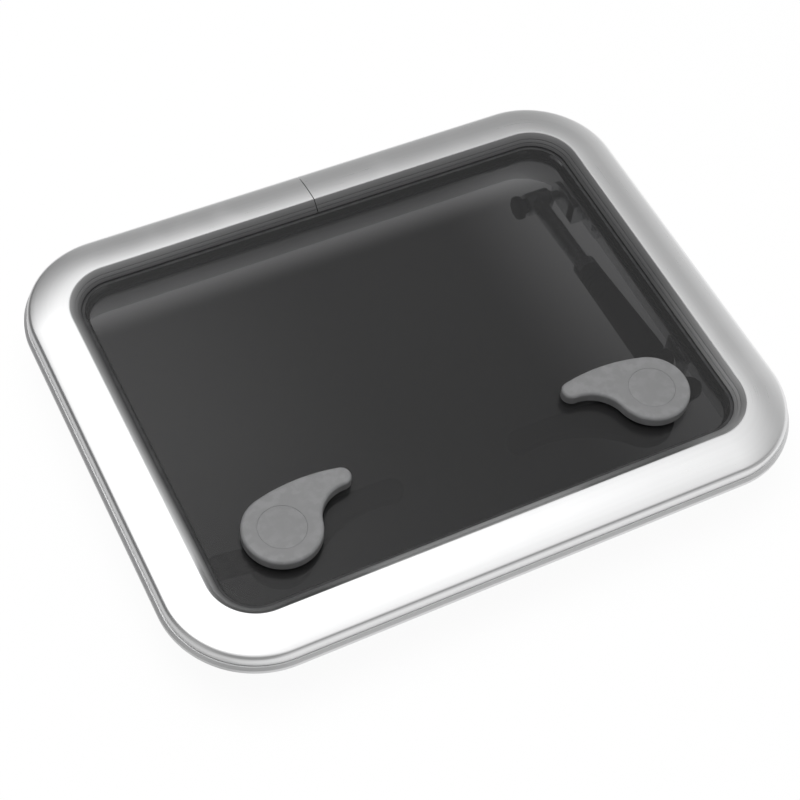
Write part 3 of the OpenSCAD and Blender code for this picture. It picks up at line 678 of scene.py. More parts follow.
class Effects:
    """Shader groups that several finishes share, each built once."""

    # Ranges of noise that the drift of tone, the rubbed spots and the wiped marks take up
    DRIFT: Pair = (0.3, 0.7)
    RUBBED: Pair = (0.42, 0.62)
    WIPED: Pair = (0.45, 0.75)
    made: dict[str, bpy.types.NodeTree] = {}

    @classmethod
    def start(cls, name: str, inputs: dict[str, float], outputs: Sequence[str]) -> Optional[Nodes]:
        """Starts a group unless it is there already.

        Args:
            name: Name of the group.
            inputs: Value inputs with their defaults; a vector input comes first by itself.
            outputs: Names of the value outputs.

        Returns:
            The tree to fill, or None where the group is there.
        """
        if name in cls.made:
            return None
        tree = bpy.data.node_groups.new(name, "ShaderNodeTree")
        tree.interface.new_socket("Vector", in_out="INPUT", socket_type="NodeSocketVector")
        for key, value in inputs.items():
            socket = tree.interface.new_socket(key, in_out="INPUT", socket_type="NodeSocketFloat")
            socket.default_value = value
        for key in outputs:
            tree.interface.new_socket(key, in_out="OUTPUT", socket_type="NodeSocketFloat")
        cls.made[name] = tree
        return Nodes(tree)

    @classmethod
    def end(cls, kit: Nodes, height: bpy.types.NodeSocket, slow: bpy.types.Node) -> None:
        """Ends a skin group with its height and a slow drift of tone.

        Args:
            kit: Tree of the group.
            height: Height of the skin.
            slow: Noise that the drift follows.
        """
        drift = kit.span(slow.outputs["Fac"], cls.DRIFT, (0.0, 1.0))
        kit.fill(kit.add("NodeGroupOutput"), {"Height": height, "Drift": drift})

    @classmethod
    def grain(cls) -> bpy.types.NodeTree:
        """Fine grain of moulded or blasted skin, with a slow drift of tone."""
        kit = cls.start("fine_grain", {"Scale": 900.0}, ("Height", "Drift"))
        if kit:
            into = kit.add("NodeGroupInput")
            place, scale = into.outputs["Vector"], into.outputs["Scale"]
            fine = kit.noise(place, scale, 4.0)
            pits = kit.add("TexVoronoi", feature="SMOOTH_F1")
            kit.fill(pits, {"Vector": place, "Scale": kit.maths("MULTIPLY", scale, 0.8)})
            rise = kit.maths("MULTIPLY", pits.outputs["Distance"], 0.6)
            cls.end(kit, kit.maths("ADD", fine.outputs["Fac"], rise), kit.noise(place, 14.0, 3.0))
        return cls.made["fine_grain"]

    @classmethod
    def lines(cls) -> bpy.types.NodeTree:
        """Fine drawn lines along the first direction of the vector."""
        kit = cls.start("drawn_lines", {"Along": 9.0, "Across": 2600.0}, ("Height", "Drift"))
        if kit:
            into = kit.add("NodeGroupInput")
            parts = kit.add("SeparateXYZ")
            kit.link(into.outputs["Vector"], parts.inputs[0])
            made = kit.add("CombineXYZ")
            for i, key in enumerate(("Along", "Across")):
                kit.fill(made, {i: kit.maths("MULTIPLY", parts.outputs[i], into.outputs[key])})
            fine = kit.noise(made.outputs[0], 1.0, 3.0)
            cls.end(kit, fine.outputs["Fac"], kit.noise(made.outputs[0], 0.16, 2.0))
        return cls.made["drawn_lines"]

    @classmethod
    def wear(cls) -> bpy.types.NodeTree:
        """Rubbed edges: the mesh's edge mark broken up by noise."""
        kit = cls.start("edge_wear", {"Amount": 0.5}, ("Mask",))
        if kit:
            into = kit.add("NodeGroupInput")
            mark = kit.add("Attribute", attribute_name=EDGE_MARK)
            spots = kit.noise(into.outputs["Vector"], 160.0, 5.0)
            broken = kit.span(spots.outputs["Fac"], cls.RUBBED, (0.0, 1.0))
            rubbed = kit.maths("MULTIPLY", mark.outputs["Fac"], broken)
            mask = kit.maths("MULTIPLY", rubbed, into.outputs["Amount"])
            kit.fill(kit.add("NodeGroupOutput"), {"Mask": mask})
        return cls.made["edge_wear"]

    @classmethod
    def handling(cls) -> bpy.types.NodeTree:
        """Faint wiped marks that change the gloss over a hand's width."""
        kit = cls.start("handling_marks", {"Scale": 26.0}, ("Mask",))
        if kit:
            into = kit.add("NodeGroupInput")
            broad = kit.noise(into.outputs["Vector"], into.outputs["Scale"], 6.0)
            kit.fill(broad, {"Distortion": 0.6})
            mask = kit.span(broad.outputs["Fac"], cls.WIPED, (0.0, 1.0))
            kit.fill(kit.add("NodeGroupOutput"), {"Mask": mask})
        return cls.made["handling_marks"]


def painted(name: str) -> tuple[bpy.types.Material, Nodes, bpy.types.Node]:
    """Starts a material with a Principled shader.

    Args:
        name: Name of the material.

    Returns:
        The material, its tree and the shader.
    """
    made = bpy.data.materials.new(name)
    made.use_nodes = True
    kit = Nodes(made.node_tree)
    shader = kit.add("BsdfPrincipled")
    kit.fill(kit.add("OutputMaterial"), {"Surface": shader.outputs[0]})
    return made, kit, shader


@dataclass(frozen=True)
class Finish:
    """A procedural surface: a colour that drifts, worn edges, gloss and a fine skin."""

    name: str
    slot: Slot
    colour: Triple
    drift: Triple
    worn: Triple
    wear: float
    metallic: float
    gloss: Pair
    skin_scale: float
    bump: float
    drawn: bool = False
    specular: float = 0.5
    # Colour of a painted shade, which the mesh's shade mark mixes in
    shaded: Optional[Triple] = None

    def material(self) -> bpy.types.Material:
        """The finish as a material, built once."""
        known = bpy.data.materials.get(self.name)
        if known:
            return known
        made, kit, shader = painted(self.name)
        place = kit.add("TexCoord").outputs["Object"]
        if self.drawn:
            skin = kit.group(Effects.lines(), kit.add("UVMap", uv_map=UV_NAME).outputs["UV"])
        else:
            skin = kit.group(Effects.grain(), place)
        kit.fill(skin, {"Across" if self.drawn else "Scale": self.skin_scale})
        rubbed = kit.group(Effects.wear(), place)
        kit.fill(rubbed, {"Amount": self.wear})
        marks = kit.group(Effects.handling(), place)
        tone = kit.mix(skin.outputs["Drift"], self.colour, self.drift)
        tone = kit.mix(rubbed.outputs["Mask"], tone, self.worn)
        sheen = kit.maths("MULTIPLY", skin.outputs["Height"], 0.5)
        wiped = kit.maths("MULTIPLY", marks.outputs["Mask"], 0.5)
        matt = kit.span(kit.maths("ADD", sheen, wiped), (0.0, 1.0), self.gloss)
        # Painted shade: the shade mark mixes the colour towards the shaded colour and roughens it
        if self.shaded:
            dim = kit.add("Attribute", attribute_name=SHADE_MARK).outputs["Fac"]
            tone = kit.mix(dim, tone, self.shaded)
            matt = kit.maths("ADD", kit.maths("MULTIPLY", dim, 0.5), matt)
        relief = kit.add("Bump")
        kit.fill(relief, {"Strength": self.bump, "Distance": RELIEF, "Height": skin.outputs["Height"]})
        kit.fill(
            shader,
            {
                "Base Color": tone,
                "Metallic": self.metallic,
                "Roughness": matt,
                "Specular IOR Level": self.specular,
                "Normal": relief.outputs["Normal"],
            },
        )
        return made


@dataclass(frozen=True)
class PaneFinish:
    """Smoked clear sheet with a polished face and faint wiped marks."""

    name: str = "smoked_sheet"
    slot: Slot = Slot.PANE
    colour: Triple = (0.13, 0.13, 0.132)
    gloss: Pair = (0.02, 0.05)
    ior: float = 1.20
    clear: float = 0.90
    coat_ior: float = 1.19
    coat_rough: float = 0.28
    mark_scale: float = 11.0

    def material(self) -> bpy.types.Material:
        """The finish as a material, built once."""
        known = bpy.data.materials.get(self.name)
        if known:
            return known
        made, kit, shader = painted(self.name)
        marks = kit.group(Effects.handling(), kit.add("TexCoord").outputs["Object"])
        kit.fill(marks, {"Scale": self.mark_scale})
        kit.fill(
            shader,
            {
                "Base Color": (*self.colour, 1.0),
                "Transmission Weight": self.clear,
                "IOR": self.ior,
                "Coat Weight": 1.0,
                "Coat IOR": self.coat_ior,
                "Coat Roughness": self.coat_rough,
                "Roughness": kit.span(marks.outputs["Mask"], (0.0, 1.0), self.gloss),
            },
        )
        return made


# Its shaded colour is the painted shade down the lid ring's inner slope
FRAME_SATIN = Finish(
    "satin_frame", Slot.FRAME, (0.87, 0.872, 0.875), (0.85, 0.852, 0.855), (0.92, 0.92, 0.92),
    0.1, 1.0, (0.27, 0.33), 2600.0, 0.012, drawn=True, shaded=(0.11, 0.11, 0.112),
)
FLANGE_SATIN = Finish(
    "satin_flange", Slot.FRAME, (0.80, 0.802, 0.805), (0.78, 0.782, 0.785), (0.9, 0.9, 0.9),
    0.1, 1.0, (0.46, 0.54), 2600.0, 0.012, drawn=True,
)
BARE_METAL = Finish(
    "milled_metal", Slot.BARE, (0.74, 0.75, 0.76), (0.66, 0.67, 0.68), (0.88, 0.88, 0.88),
    0.4, 1.0, (0.28, 0.44), 1400.0, 0.08,
)
STAINLESS = Finish(
    "stainless", Slot.STEEL, (0.62, 0.63, 0.64), (0.54, 0.55, 0.56), (0.8, 0.8, 0.8),
    0.4, 1.0, (0.2, 0.36), 1600.0, 0.06,
)
COATED = Finish(
    "coated_steel", Slot.STEEL, (0.055, 0.055, 0.057), (0.042, 0.042, 0.044), (0.3, 0.3, 0.3),
    0.35, 0.6, (0.34, 0.5), 1500.0, 0.08,
)
RUBBER = Finish(
    "gasket_rubber", Slot.RUBBER, (0.017, 0.017, 0.018), (0.024, 0.024, 0.025), (0.05, 0.05, 0.05),
    0.3, 0.0, (0.5, 0.72), 1100.0, 0.12,
)
HANDLE_GREY = Finish(
    "moulded_grey", Slot.HANDLE, (0.175, 0.176, 0.178), (0.170, 0.171, 0.173), (0.25, 0.25, 0.255),
    0.3, 0.0, (0.47, 0.55), 1500.0, 0.12,
)
MOULDED_BLACK = Finish(
    "moulded_black", Slot.BLACK, (0.020, 0.020, 0.021), (0.030, 0.030, 0.031), (0.08, 0.08, 0.08),
    0.4, 0.0, (0.4, 0.58), 1300.0, 0.12,
)
SMOKED = PaneFinish()
PACKED = {f.slot: f for f in (BARE_METAL, STAINLESS, RUBBER, HANDLE_GREY, MOULDED_BLACK, SMOKED)}
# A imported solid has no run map, which the frame's drawn lines need
PACKED[Slot.FRAME] = BARE_METAL


def dress(piece: bpy.types.Object, finish: Finish, body: Body, *nodes: str) -> None:
    """Gives a piece its finish, its body and the nodes that it stands for.

    Args:
        piece: Piece to dress.
        finish: Its finish.
        body: Body that it rides on.
        nodes: Nodes that it replaces.
    """
    piece.data.materials.clear()
    piece.data.materials.append(finish.material())
    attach(piece, body.value)
    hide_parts(*nodes)
    LOG.info("%s on %s, %d faces", piece.name, body.value, len(piece.data.polygons))


@dataclass
class Plan:
    """Outline of the hatch in plan, and the places that several sub-assemblies share."""

    width: float = 430.0
    depth: float = 338.0
    corner: float = 62.0
    corner_steps: int = 44
    run_step: float = 12.0
    foot_u: float = 37.2
    lip_u: float = 42.0
    lip_z: float = -2.9
    seat_z: float = -0.4
    pane_low: float = 1.1
    pane_top: float = 9.1
    seam_x: float = -1.0
    hinge_x: float = 80.0

    def stations(self, gap_x: Optional[float] = None, gap: float = 0.0) -> list[Station]:
        """Places along the outline, counter-clockwise from the middle of the back.

        Args:
            gap_x: Where an open run starts and ends on the back, or None for a closed run.
            gap: Width of the open run's gap.

        Returns:
            The stations; a closed run leaves its first place out at the end.
        """
        start = gap_x or 0.0
        half_w, half_d, r = self.width / 2, self.depth / 2, self.corner
        cx, cy = half_w - r, half_d - r
        places: list[tuple[float, float, float, float]] = []

        def line(x0: float, y0: float, x1: float, y1: float, inx: float, iny: float) -> None:
            """Adds the places of a straight run."""
            count = max(2, int(math.hypot(x1 - x0, y1 - y0) / self.run_step))
            for i in range(count):
                t = i / count
                places.append((x0 + (x1 - x0) * t, y0 + (y1 - y0) * t, inx, iny))

        def arc(x: float, y: float, first: float) -> None:
            """Adds the places of a quarter turn about a corner's centre."""
            for i in range(self.corner_steps):
                a = math.radians(first + 90.0 * i / self.corner_steps)
                places.append((x + r * math.cos(a), y + r * math.sin(a), -math.cos(a), -math.sin(a)))

        line(start - gap / 2, half_d, -cx, half_d, 0.0, -1.0)
        arc(-cx, cy, 90.0)
        line(-half_w, cy, -half_w, -cy, 1.0, 0.0)
        arc(-cx, -cy, 180.0)
        line(-cx, -half_d, cx, -half_d, 0.0, 1.0)
        arc(cx, -cy, 270.0)
        line(half_w, -cy, half_w, cy, -1.0, 0.0)
        arc(cx, cy, 0.0)
        line(cx, half_d, start + gap / 2, half_d, 0.0, -1.0)
        if gap_x is not None:
            places.append((start + gap / 2, half_d, 0.0, -1.0))
        way = 0.0
        made: list[Station] = []
        for i, (x, y, inx, iny) in enumerate(places):
            if i:
                way += math.hypot(x - places[i - 1][0], y - places[i - 1][1])
            made.append(Station(x, y, inx, iny, way))
        return made


PLAN = Plan()


@dataclass
class LidRing:
    """The crowned ring of the lid, with its butt joint at the back."""

    ledge: float = 2.4
    under: float = 4.9
    chamfer: float = 0.3
    shoulder_z: float = 13.1
    shoulder_r: float = 4.0
    shoulder_wear: float = 0.4
    crown_slope: float = 15.0
    crest_u: float = 30.2
    crest_z: float = 16.3
    crest_flat: float = 1.0
    crest_free: float = 1.2
    foot_z: float = 10.4
    web_u: float = 34.0
    web_t: float = 3.2
    skin_z: float = 12.9
    low_z: float = 9.7
    step_u: float = 21.5
    side_u: float = 8.0
    seam_w: float = 0.6
    curve_steps: int = 10
    groove_at: Pair = (0.45, 0.72)
    groove_in: float = 0.05
    groove_fall: float = 0.35
    shade_under: float = 0.6
    shade_before: float = 0.8
    shade_crest: float = 0.35
    shade_run: float = 0.37
    lean_left: float = 0.4
    lean_front: float = 1.25
    lean_gain: float = 1.3
    lean_range: Pair = (-1.3, 1.0)
    lean_share: Pair = (0.55, 0.45)
    foot_gain: float = 1.4

    def section(self) -> list[Mark]:
        """The ring's section as inset and height."""
        marks = [Mark(self.ledge + self.chamfer, self.under), Mark(self.ledge, self.under + self.chamfer)]
        cu, cv = self.ledge + self.shoulder_r, self.shoulder_z - self.shoulder_r
        turn = 90.0 - self.crown_slope
        for i in range(self.curve_steps + 1):
            a = math.radians(180.0 - turn * i / self.curve_steps)
            u, v = cu + self.shoulder_r * math.cos(a), cv + self.shoulder_r * math.sin(a)
            marks.append(Mark(u, v, self.shoulder_wear))
        start = marks[-1]
        knee_u = start.u + (self.crest_z - start.v) / math.tan(math.radians(self.crown_slope))
        for i in range(1, self.curve_steps):
            t = i / self.curve_steps
            u = start.u * (1 - t) ** 2 + knee_u * 2 * t * (1 - t) + self.crest_u * t * t
            v = start.v * (1 - t) ** 2 + self.crest_z * (2 * t * (1 - t) + t * t)
            if u < self.crest_u - self.crest_free:
                marks.append(Mark(u, v))
        inner = rounded(
            [
                (self.crest_u - self.crest_flat, self.crest_z, 0.0),
                (self.crest_u, self.crest_z, 0.5),
                *self.grooves(),
                (PLAN.foot_u, self.foot_z, 0.5),
                (PLAN.foot_u, PLAN.seat_z, 0.0),
                (PLAN.lip_u, PLAN.seat_z, 0.4),
                (PLAN.lip_u, PLAN.lip_z, 0.6),
                (self.web_u, PLAN.lip_z, 0.6),
                (self.web_u, self.skin_z - self.web_t, 0.4),
                (self.web_u - self.web_t, self.skin_z, 0.0),
                (self.step_u, self.skin_z, 0.0),
                (self.step_u, self.low_z, 0.4),
                (self.side_u, self.low_z, 0.0),
                (self.side_u, self.under, 0.0),
            ],
            closed=False,
        )
        return [self.shaded(m) for m in marks + inner]

    def grooves(self) -> list[Triple]:
        """Two fine steps down the inner slope."""
        run, fall = PLAN.foot_u - self.crest_u, self.crest_z - self.foot_z
        made: list[Triple] = []
        for share in self.groove_at:
            u, v = self.crest_u + run * share, self.crest_z - fall * share
            made += [(u, v, 0.1), (u + self.groove_in, v - self.groove_fall, 0.1)]
        return made

    def shaded(self, mark: Mark) -> Mark:
        """The same mark, with a painted shade over the crest and down the inner slope to the gasket."""
        if mark.v < self.foot_z - self.shade_under or mark.u < self.crest_u - self.shade_before:
            return mark
        down = min(1.0, max(0.0, (mark.u - self.crest_u) / (PLAN.foot_u - self.crest_u)))
        return Mark(mark.u, mark.v, mark.edge, self.shade_crest + self.shade_run * down)

    def paint_slope_shade(self, ring: bpy.types.Object) -> None:
        """Paints the inner slope's shade deeper towards the back and the right and lighter opposite:
        painted shade and light for how each side catches the light.

        On the left the foot of the slope keeps more of its painted shade than the crest.

        Args:
            ring: The swept ring, in metres.
        """
        half_w, half_d = PLAN.width / 2 * MM, PLAN.depth / 2 * MM
        most_light, most_dark = self.lean_range
        lift, damp = self.lean_share
        for vertex, mark in zip(ring.data.vertices, ring.data.attributes[SHADE_MARK].data):
            if mark.value <= 0.0:
                continue
            side, rear = vertex.co.x / half_w, vertex.co.y / half_d
            lean = side if side > 0.0 else self.lean_left * side
            lean += rear if rear > 0.0 else self.lean_front * rear
            lean = min(most_dark, max(most_light, self.lean_gain * lean))
            foot = max(0.0, -side) * (1.0 - max(0.0, rear)) * (mark.value - self.shade_crest)
            shade = mark.value + self.foot_gain * foot + lean * (lift - damp * mark.value)
            mark.value = min(1.0, max(0.0, shade))

    def build(self) -> None:
        """Makes and dresses the ring."""
        stations = PLAN.stations(PLAN.seam_x, self.seam_w)
        ring = sweep("lid_ring", self.section(), stations, closed=False)
        # Painted shade on the inner slope, deeper at the back and the right
        self.paint_slope_shade(ring)
        dress(ring, FRAME_SATIN, Body.LID, "lid_frame")


@dataclass
class BaseFrame:
    """The flange on the deck with its coaming, its seal rim, its deck holes and hinge beds."""

    flange_t: float = 4.4
    edge_h: float = 2.7
    bevel: float = 1.8
    flange_w: float = 25.0
    coaming_t: float = 3.0
    coaming_depth: float = 36.0
    rim_z: float = 9.0
    hole_r: float = 2.6
    sink_r: float = 5.0
    hole_inset: float = 14.5
    row_x: float = 250.0
    row_y: float = 110.0
    hinge_half: float = 25.3
    notch_in: float = 5.1
    bed_y: float = 150.58
    bed_z: float = 3.2

    def section(self) -> list[Mark]:
        """The frame's section as inset and height."""
        inner = self.flange_w + self.coaming_t
        return rounded(
            [
                (0.0, 0.0, 0.25),
                (0.0, self.edge_h, 0.5),
                (self.bevel, self.flange_t, 0.5),
                (self.flange_w, self.flange_t, 0.4),
                (self.flange_w, self.rim_z, 1.2),
                (inner, self.rim_z, 1.2),
                (inner, -self.coaming_depth, 0.8),
                (self.flange_w, -self.coaming_depth, 0.8),
                (self.flange_w, 0.0, 0.6),
            ]
        )

    def cutters(self) -> list[bpy.types.Object]:
        """Solids of the countersunk deck holes and the hinge beds."""
        made: list[bpy.types.Object] = []
        reach_x, reach_y = PLAN.width / 2 - self.hole_inset, PLAN.depth / 2 - self.hole_inset
        spots = [(sx * self.row_x / 2, sy * reach_y) for sx in (-1, 1) for sy in (-1, 1)]
        spots += [(sx * reach_x, sy * self.row_y / 2) for sx in (-1, 1) for sy in (-1, 1)]
        top = self.flange_t + OVER
        sink_z = self.flange_t - (self.sink_r - self.hole_r)
        profile = [
            Mark(0.0, -OVER), Mark(self.hole_r, -OVER), Mark(self.hole_r, sink_z),
            Mark(self.sink_r, self.flange_t), Mark(self.sink_r, top), Mark(0.0, top),
        ]
        for x, y in spots:
            made.append(lathe("deck_hole", profile, Matrix.Translation((x, y, 0.0)), 40))
        edge = PLAN.depth / 2
        for side in Side:
            x = side.value * PLAN.hinge_x
            low, high = x - self.hinge_half, x + self.hinge_half
            made.append(block((low, edge - self.notch_in, -OVER), (high, edge + OVER, top), 0.0))
            made.append(block((low, self.bed_y, self.bed_z), (high, edge - self.notch_in + OVER, top), 0.0))
        return made

    def build(self) -> None:
        """Makes and dresses the base frame."""
        base = sweep("deck_frame", self.section(), PLAN.stations())
        cut_away(base, *self.cutters())
        dress(base, FLANGE_SATIN, Body.BASE, "base_frame")


@dataclass
class PaneSet:
    """The smoked pane's gasket and the lid's seal, swept round the hatch."""

    pane_u: float = 39.5
    proud: float = 0.3
    seal_u: float = 22.5
    seal_w: float = 8.0
    seal_low: float = 9.2
    seal_top: float = 12.9
    bulb_w: float = 2.4
    dip_in: float = 2.9
    dip: float = 0.9

    def build(self) -> None:
        """Makes and dresses the gasket and the seal."""
        top = PLAN.pane_top + self.proud
        gasket = rounded(
            [
                (PLAN.foot_u, PLAN.seat_z, 0.0),
                (PLAN.lip_u, PLAN.seat_z, 0.5),
                (PLAN.lip_u, PLAN.pane_low, 0.3),
                (self.pane_u, PLAN.pane_low, 0.0),
                (self.pane_u, top, 0.5),
                (PLAN.foot_u, top, 0.3),
            ]
        )
        dress(sweep("pane_bead", gasket, PLAN.stations()), RUBBER, Body.LID, "pane_gasket")
        near, far = self.seal_u, self.seal_u + self.seal_w
        low = self.seal_low
        seal = rounded(
            [
                (near, self.seal_top, 0.0),
                (near, low, 1.4),
                (near + self.bulb_w, low, 0.6),
                (near + self.dip_in, low + self.dip, 0.4),
                (far - self.dip_in, low + self.dip, 0.4),
                (far - self.bulb_w, low, 0.6),
                (far, low, 1.4),
                (far, self.seal_top, 0.0),
            ]
        )
        dress(sweep("lid_bulb_seal", seal, PLAN.stations()), RUBBER, Body.LID, "lid_seal")


def drop_outline(
    hub_r: float, tip_r: float, reach: float, hollow_r: float, bow_r: float, steps: int = 40
) -> list[Rim]:
    """Outline of a drop shape along +X with one bowed and one hollow side.

    Args:
        hub_r: Radius of the hub.
        tip_r: Radius of the tip.
        reach: Length from the hub's centre to the tip's end.
        hollow_r: Radius of the hollow side.
        bow_r: Radius of the bowed side.
        steps: Steps of the hub's arc; the other arcs take a share.

    Returns:
        The outline, counter-clockwise.
    """
    c = reach - tip_r
    a, b = hub_r + hollow_r, tip_r + hollow_r
    qx = (c * c + a * a - b * b) / (2 * c)
    qy = -math.sqrt(a * a - qx * qx)
    e, g = bow_r - hub_r, bow_r - tip_r
    bx = (c * c + e * e - g * g) / (2 * c)
    by = -math.sqrt(e * e - bx * bx)
    hub_start = math.atan2(-by, -bx)
    tip_end = math.atan2(-by, c - bx)
    rims: list[Rim] = []

    def arc(x: float, y: float, r: float, first: float, last: float, count: int, out: int) -> None:
        """Adds the points of an arc; out is -1 where the solid lies outside it."""
        for i in range(count):
            t = first + (last - first) * i / (count - 1)
            rims.append(Rim(x + r * math.cos(t), y + r * math.sin(t), out * math.cos(t), out * math.sin(t)))

    hub_end = math.atan2(qy, qx) + 2 * math.pi
    arc(0.0, 0.0, hub_r, hub_start, hub_end, steps, 1)
    hollow_first = math.atan2(-qy, -qx)
    hollow_last = math.atan2(-qy, c - qx)
    arc(qx, qy, hollow_r, hollow_first, hollow_last, steps // 2, -1)
    tip_first = math.atan2(qy, qx - c)
    arc(c, 0.0, tip_r, tip_first, tip_end, steps // 2, 1)
    arc(bx, by, bow_r, tip_end, hub_start, steps // 3, 1)
    rims.pop()
    kept: list[Rim] = []
    for p in rims:
        if not kept or math.hypot(p.x - kept[-1].x, p.y - kept[-1].y) > 0.02:
            kept.append(p)
    return kept


@dataclass
class Handle:
    """One handle: the outer grip and its cap, and below the pane the dog and the inner lever."""

    side: Side
    hub_x: float = 128.5
    hub_y: float = -90.5
    low: float = 9.5
    seat: float = 10.6
    high: float = 19.1
    foot_in: float = 2.4
    foot_lip: float = 0.3
    edge_r: float = 2.2
    edge_steps: int = 6
    hub_r: float = 25.0
    tip_r: float = 6.5
    reach: float = 58.0
    hollow_r: float = 24.0
    bow_r: float = 118.0
    angle: float = 22.0
    outline_steps: int = 64
    cap_r: float = 15.0
    cap_t: float = 1.2
    cap_gap: float = 0.08
    cap_edge: float = 0.15
    pocket_gap: float = 0.6
    spindle_r: float = 6.0
    bore_gap: float = 0.06
    bush_r: float = 11.0
    flange_r: float = 17.0
    flange_t: float = 1.2
    nut_t: float = 3.5
    nut_gap: float = 0.02
    play: float = 0.2
    washer_t: float = 1.3
    dog_low: float = -13.9
    dog_t: float = 5.0
    dog_w: float = 16.0
    dog_back: float = 2.0
    dog_len: float = 46.5
    dog_angle: float = 8.0
    dog_hub_r: float = 10.0
    dog_gap: float = 0.03
    lever_low: float = -22.2
    lever_t: float = 8.0
    lever_hub_r: float = 20.5
    lever_tip_r: float = 8.0
    lever_reach: float = 92.0
    lever_hollow_r: float = 70.0
    lever_bow_r: float = 600.0
    lever_angle: float = 11.0
    lever_head_r: float = 8.0
    lever_head_t: float = 2.2
    sunk_in: float = 4.2
    sunk_slope: float = 0.5
    sunk_depth: float = 1.0
    boss_w: float = 2.4
    boss_t: float = 2.0
    socket_share: float = 0.42
    socket_floor: float = 0.6

    def place(self, angle: float = 0.0, z: float = 0.0) -> Matrix:
        """Transform from the handle's own axis into the row frame, mirrored on the right.

        Args:
            angle: Turn about the axis, in degrees.
            z: Height above the deck.

        Returns:
            The transform, in millimetres.
        """
        flip = Matrix.Scale(-1, 4, (1, 0, 0)) if self.side is Side.RIGHT else Matrix.Identity(4)
        return flip @ turned((-self.hub_x, self.hub_y, z), "Z", angle)

    def name(self, word: str) -> str:
        """Name of a piece of this side."""
        return f"{word}_{self.side.word}"

    def grip(self) -> None:
        """Makes the outer grip and the cap that covers its screw."""
        size = (self.hub_r, self.tip_r, self.reach, self.hollow_r, self.bow_r)
        outline = drop_outline(*size, self.outline_steps)
        wall_z = self.low + self.foot_in
        foot = [(self.foot_in, self.low, 1.0), (self.foot_lip, wall_z - self.foot_lip, 1.0)]
        wall = soft_levels(wall_z, self.high, 0.0, self.edge_r, self.edge_steps)[self.edge_steps:]
        grip = prism(self.name("grip"), outline, foot + wall, self.place(self.angle))
        well = self.high - self.cap_t
        hole_r, hole_t = self.cap_r + self.cap_gap, self.cap_t + OVER
        hole = round_bar("well", hole_t, hole_r, 0.0, self.place(z=well), steps=96)
        below = self.low - OVER
        pocket_r, pocket_t = self.flange_r + self.pocket_gap, self.seat - below
        pocket = round_bar("pocket", pocket_t, pocket_r, 0.0, self.place(z=below), steps=72)
        cut_away(grip, hole, pocket)
        dress(grip, HANDLE_GREY, self.side.body, self.name("outer_handle"))
        rim = [(0.0, well, 0.0), (self.cap_r, well, 0.0)]
        rim += [(self.cap_r, self.high, self.cap_edge), (0.0, self.high, 0.0)]
        cap = lathe(self.name("cap"), rounded(rim, closed=False), self.place(), 96)
        dress(cap, HANDLE_GREY, self.side.body, self.name("handle_cap"))

    def bush(self) -> None:
        """Makes the bush through the pane, its nut and the washer below it."""
        low = PLAN.pane_low - self.nut_t
        top = PLAN.pane_top + self.flange_t
        bore = self.spindle_r + self.bore_gap
        section = rounded(
            [
                (bore, low, 0.0), (self.bush_r, low, 0.4), (self.bush_r, PLAN.pane_top, 0.0),
                (self.flange_r, PLAN.pane_top, 0.0), (self.flange_r, top, 0.5), (bore, top, 0.0),
            ]
        )
        bush = lathe(self.name("bush"), section, self.place(), 80, closed=True)
        dress(bush, MOULDED_BLACK, Body.LID, self.name("handle_bush"))
        hexagon = flat_outline(ngon(self.flange_r, 6, 1.2))
        nut = prism(self.name("nut"), hexagon, soft_levels(low, PLAN.pane_low, 0.7, 0.2, 3), self.place())
        drill_r, drill_t = self.bush_r + self.nut_gap, self.nut_t + 4 * OVER
        cut_away(nut, round_bar("bore", drill_t, drill_r, 0.0, self.place(z=low - 2 * OVER)))
        dress(nut, MOULDED_BLACK, Body.LID, self.name("bush_nut"))
        seat = self.place(z=low - self.play - self.washer_t)
        washer = round_bar(self.name("washer"), self.washer_t, self.dog_hub_r, 0.25, seat, bore, 64)
        dress(washer, MOULDED_BLACK, self.side.body, self.name("thrust_washer"))

    def dog(self) -> None:
        """Makes the dog that turns under the keeper."""
        half = self.dog_w / 2
        near, far, end_r = -self.dog_back, self.dog_len, half - SHY
        corners = [(near, -half, 0.5), (far, -half, end_r), (far, half, end_r), (near, half, 0.5)]
        levels = soft_levels(self.dog_low, self.dog_low + self.dog_t, 0.5, 0.9, 3)
        arm = prism("arm", flat_outline(corners, 12), levels, self.place(180.0 - self.dog_angle))
        hub_t = PLAN.pane_low - self.nut_t - self.play - self.washer_t - self.dog_low
        bore = self.spindle_r + self.dog_gap
        hub = round_bar("hub", hub_t, self.dog_hub_r, 0.6, self.place(z=self.dog_low), bore, 64)
        dog = joined(self.name("dog"), (arm, hub))
        dress(dog, COATED, self.side.body, self.name("locking_dog"))

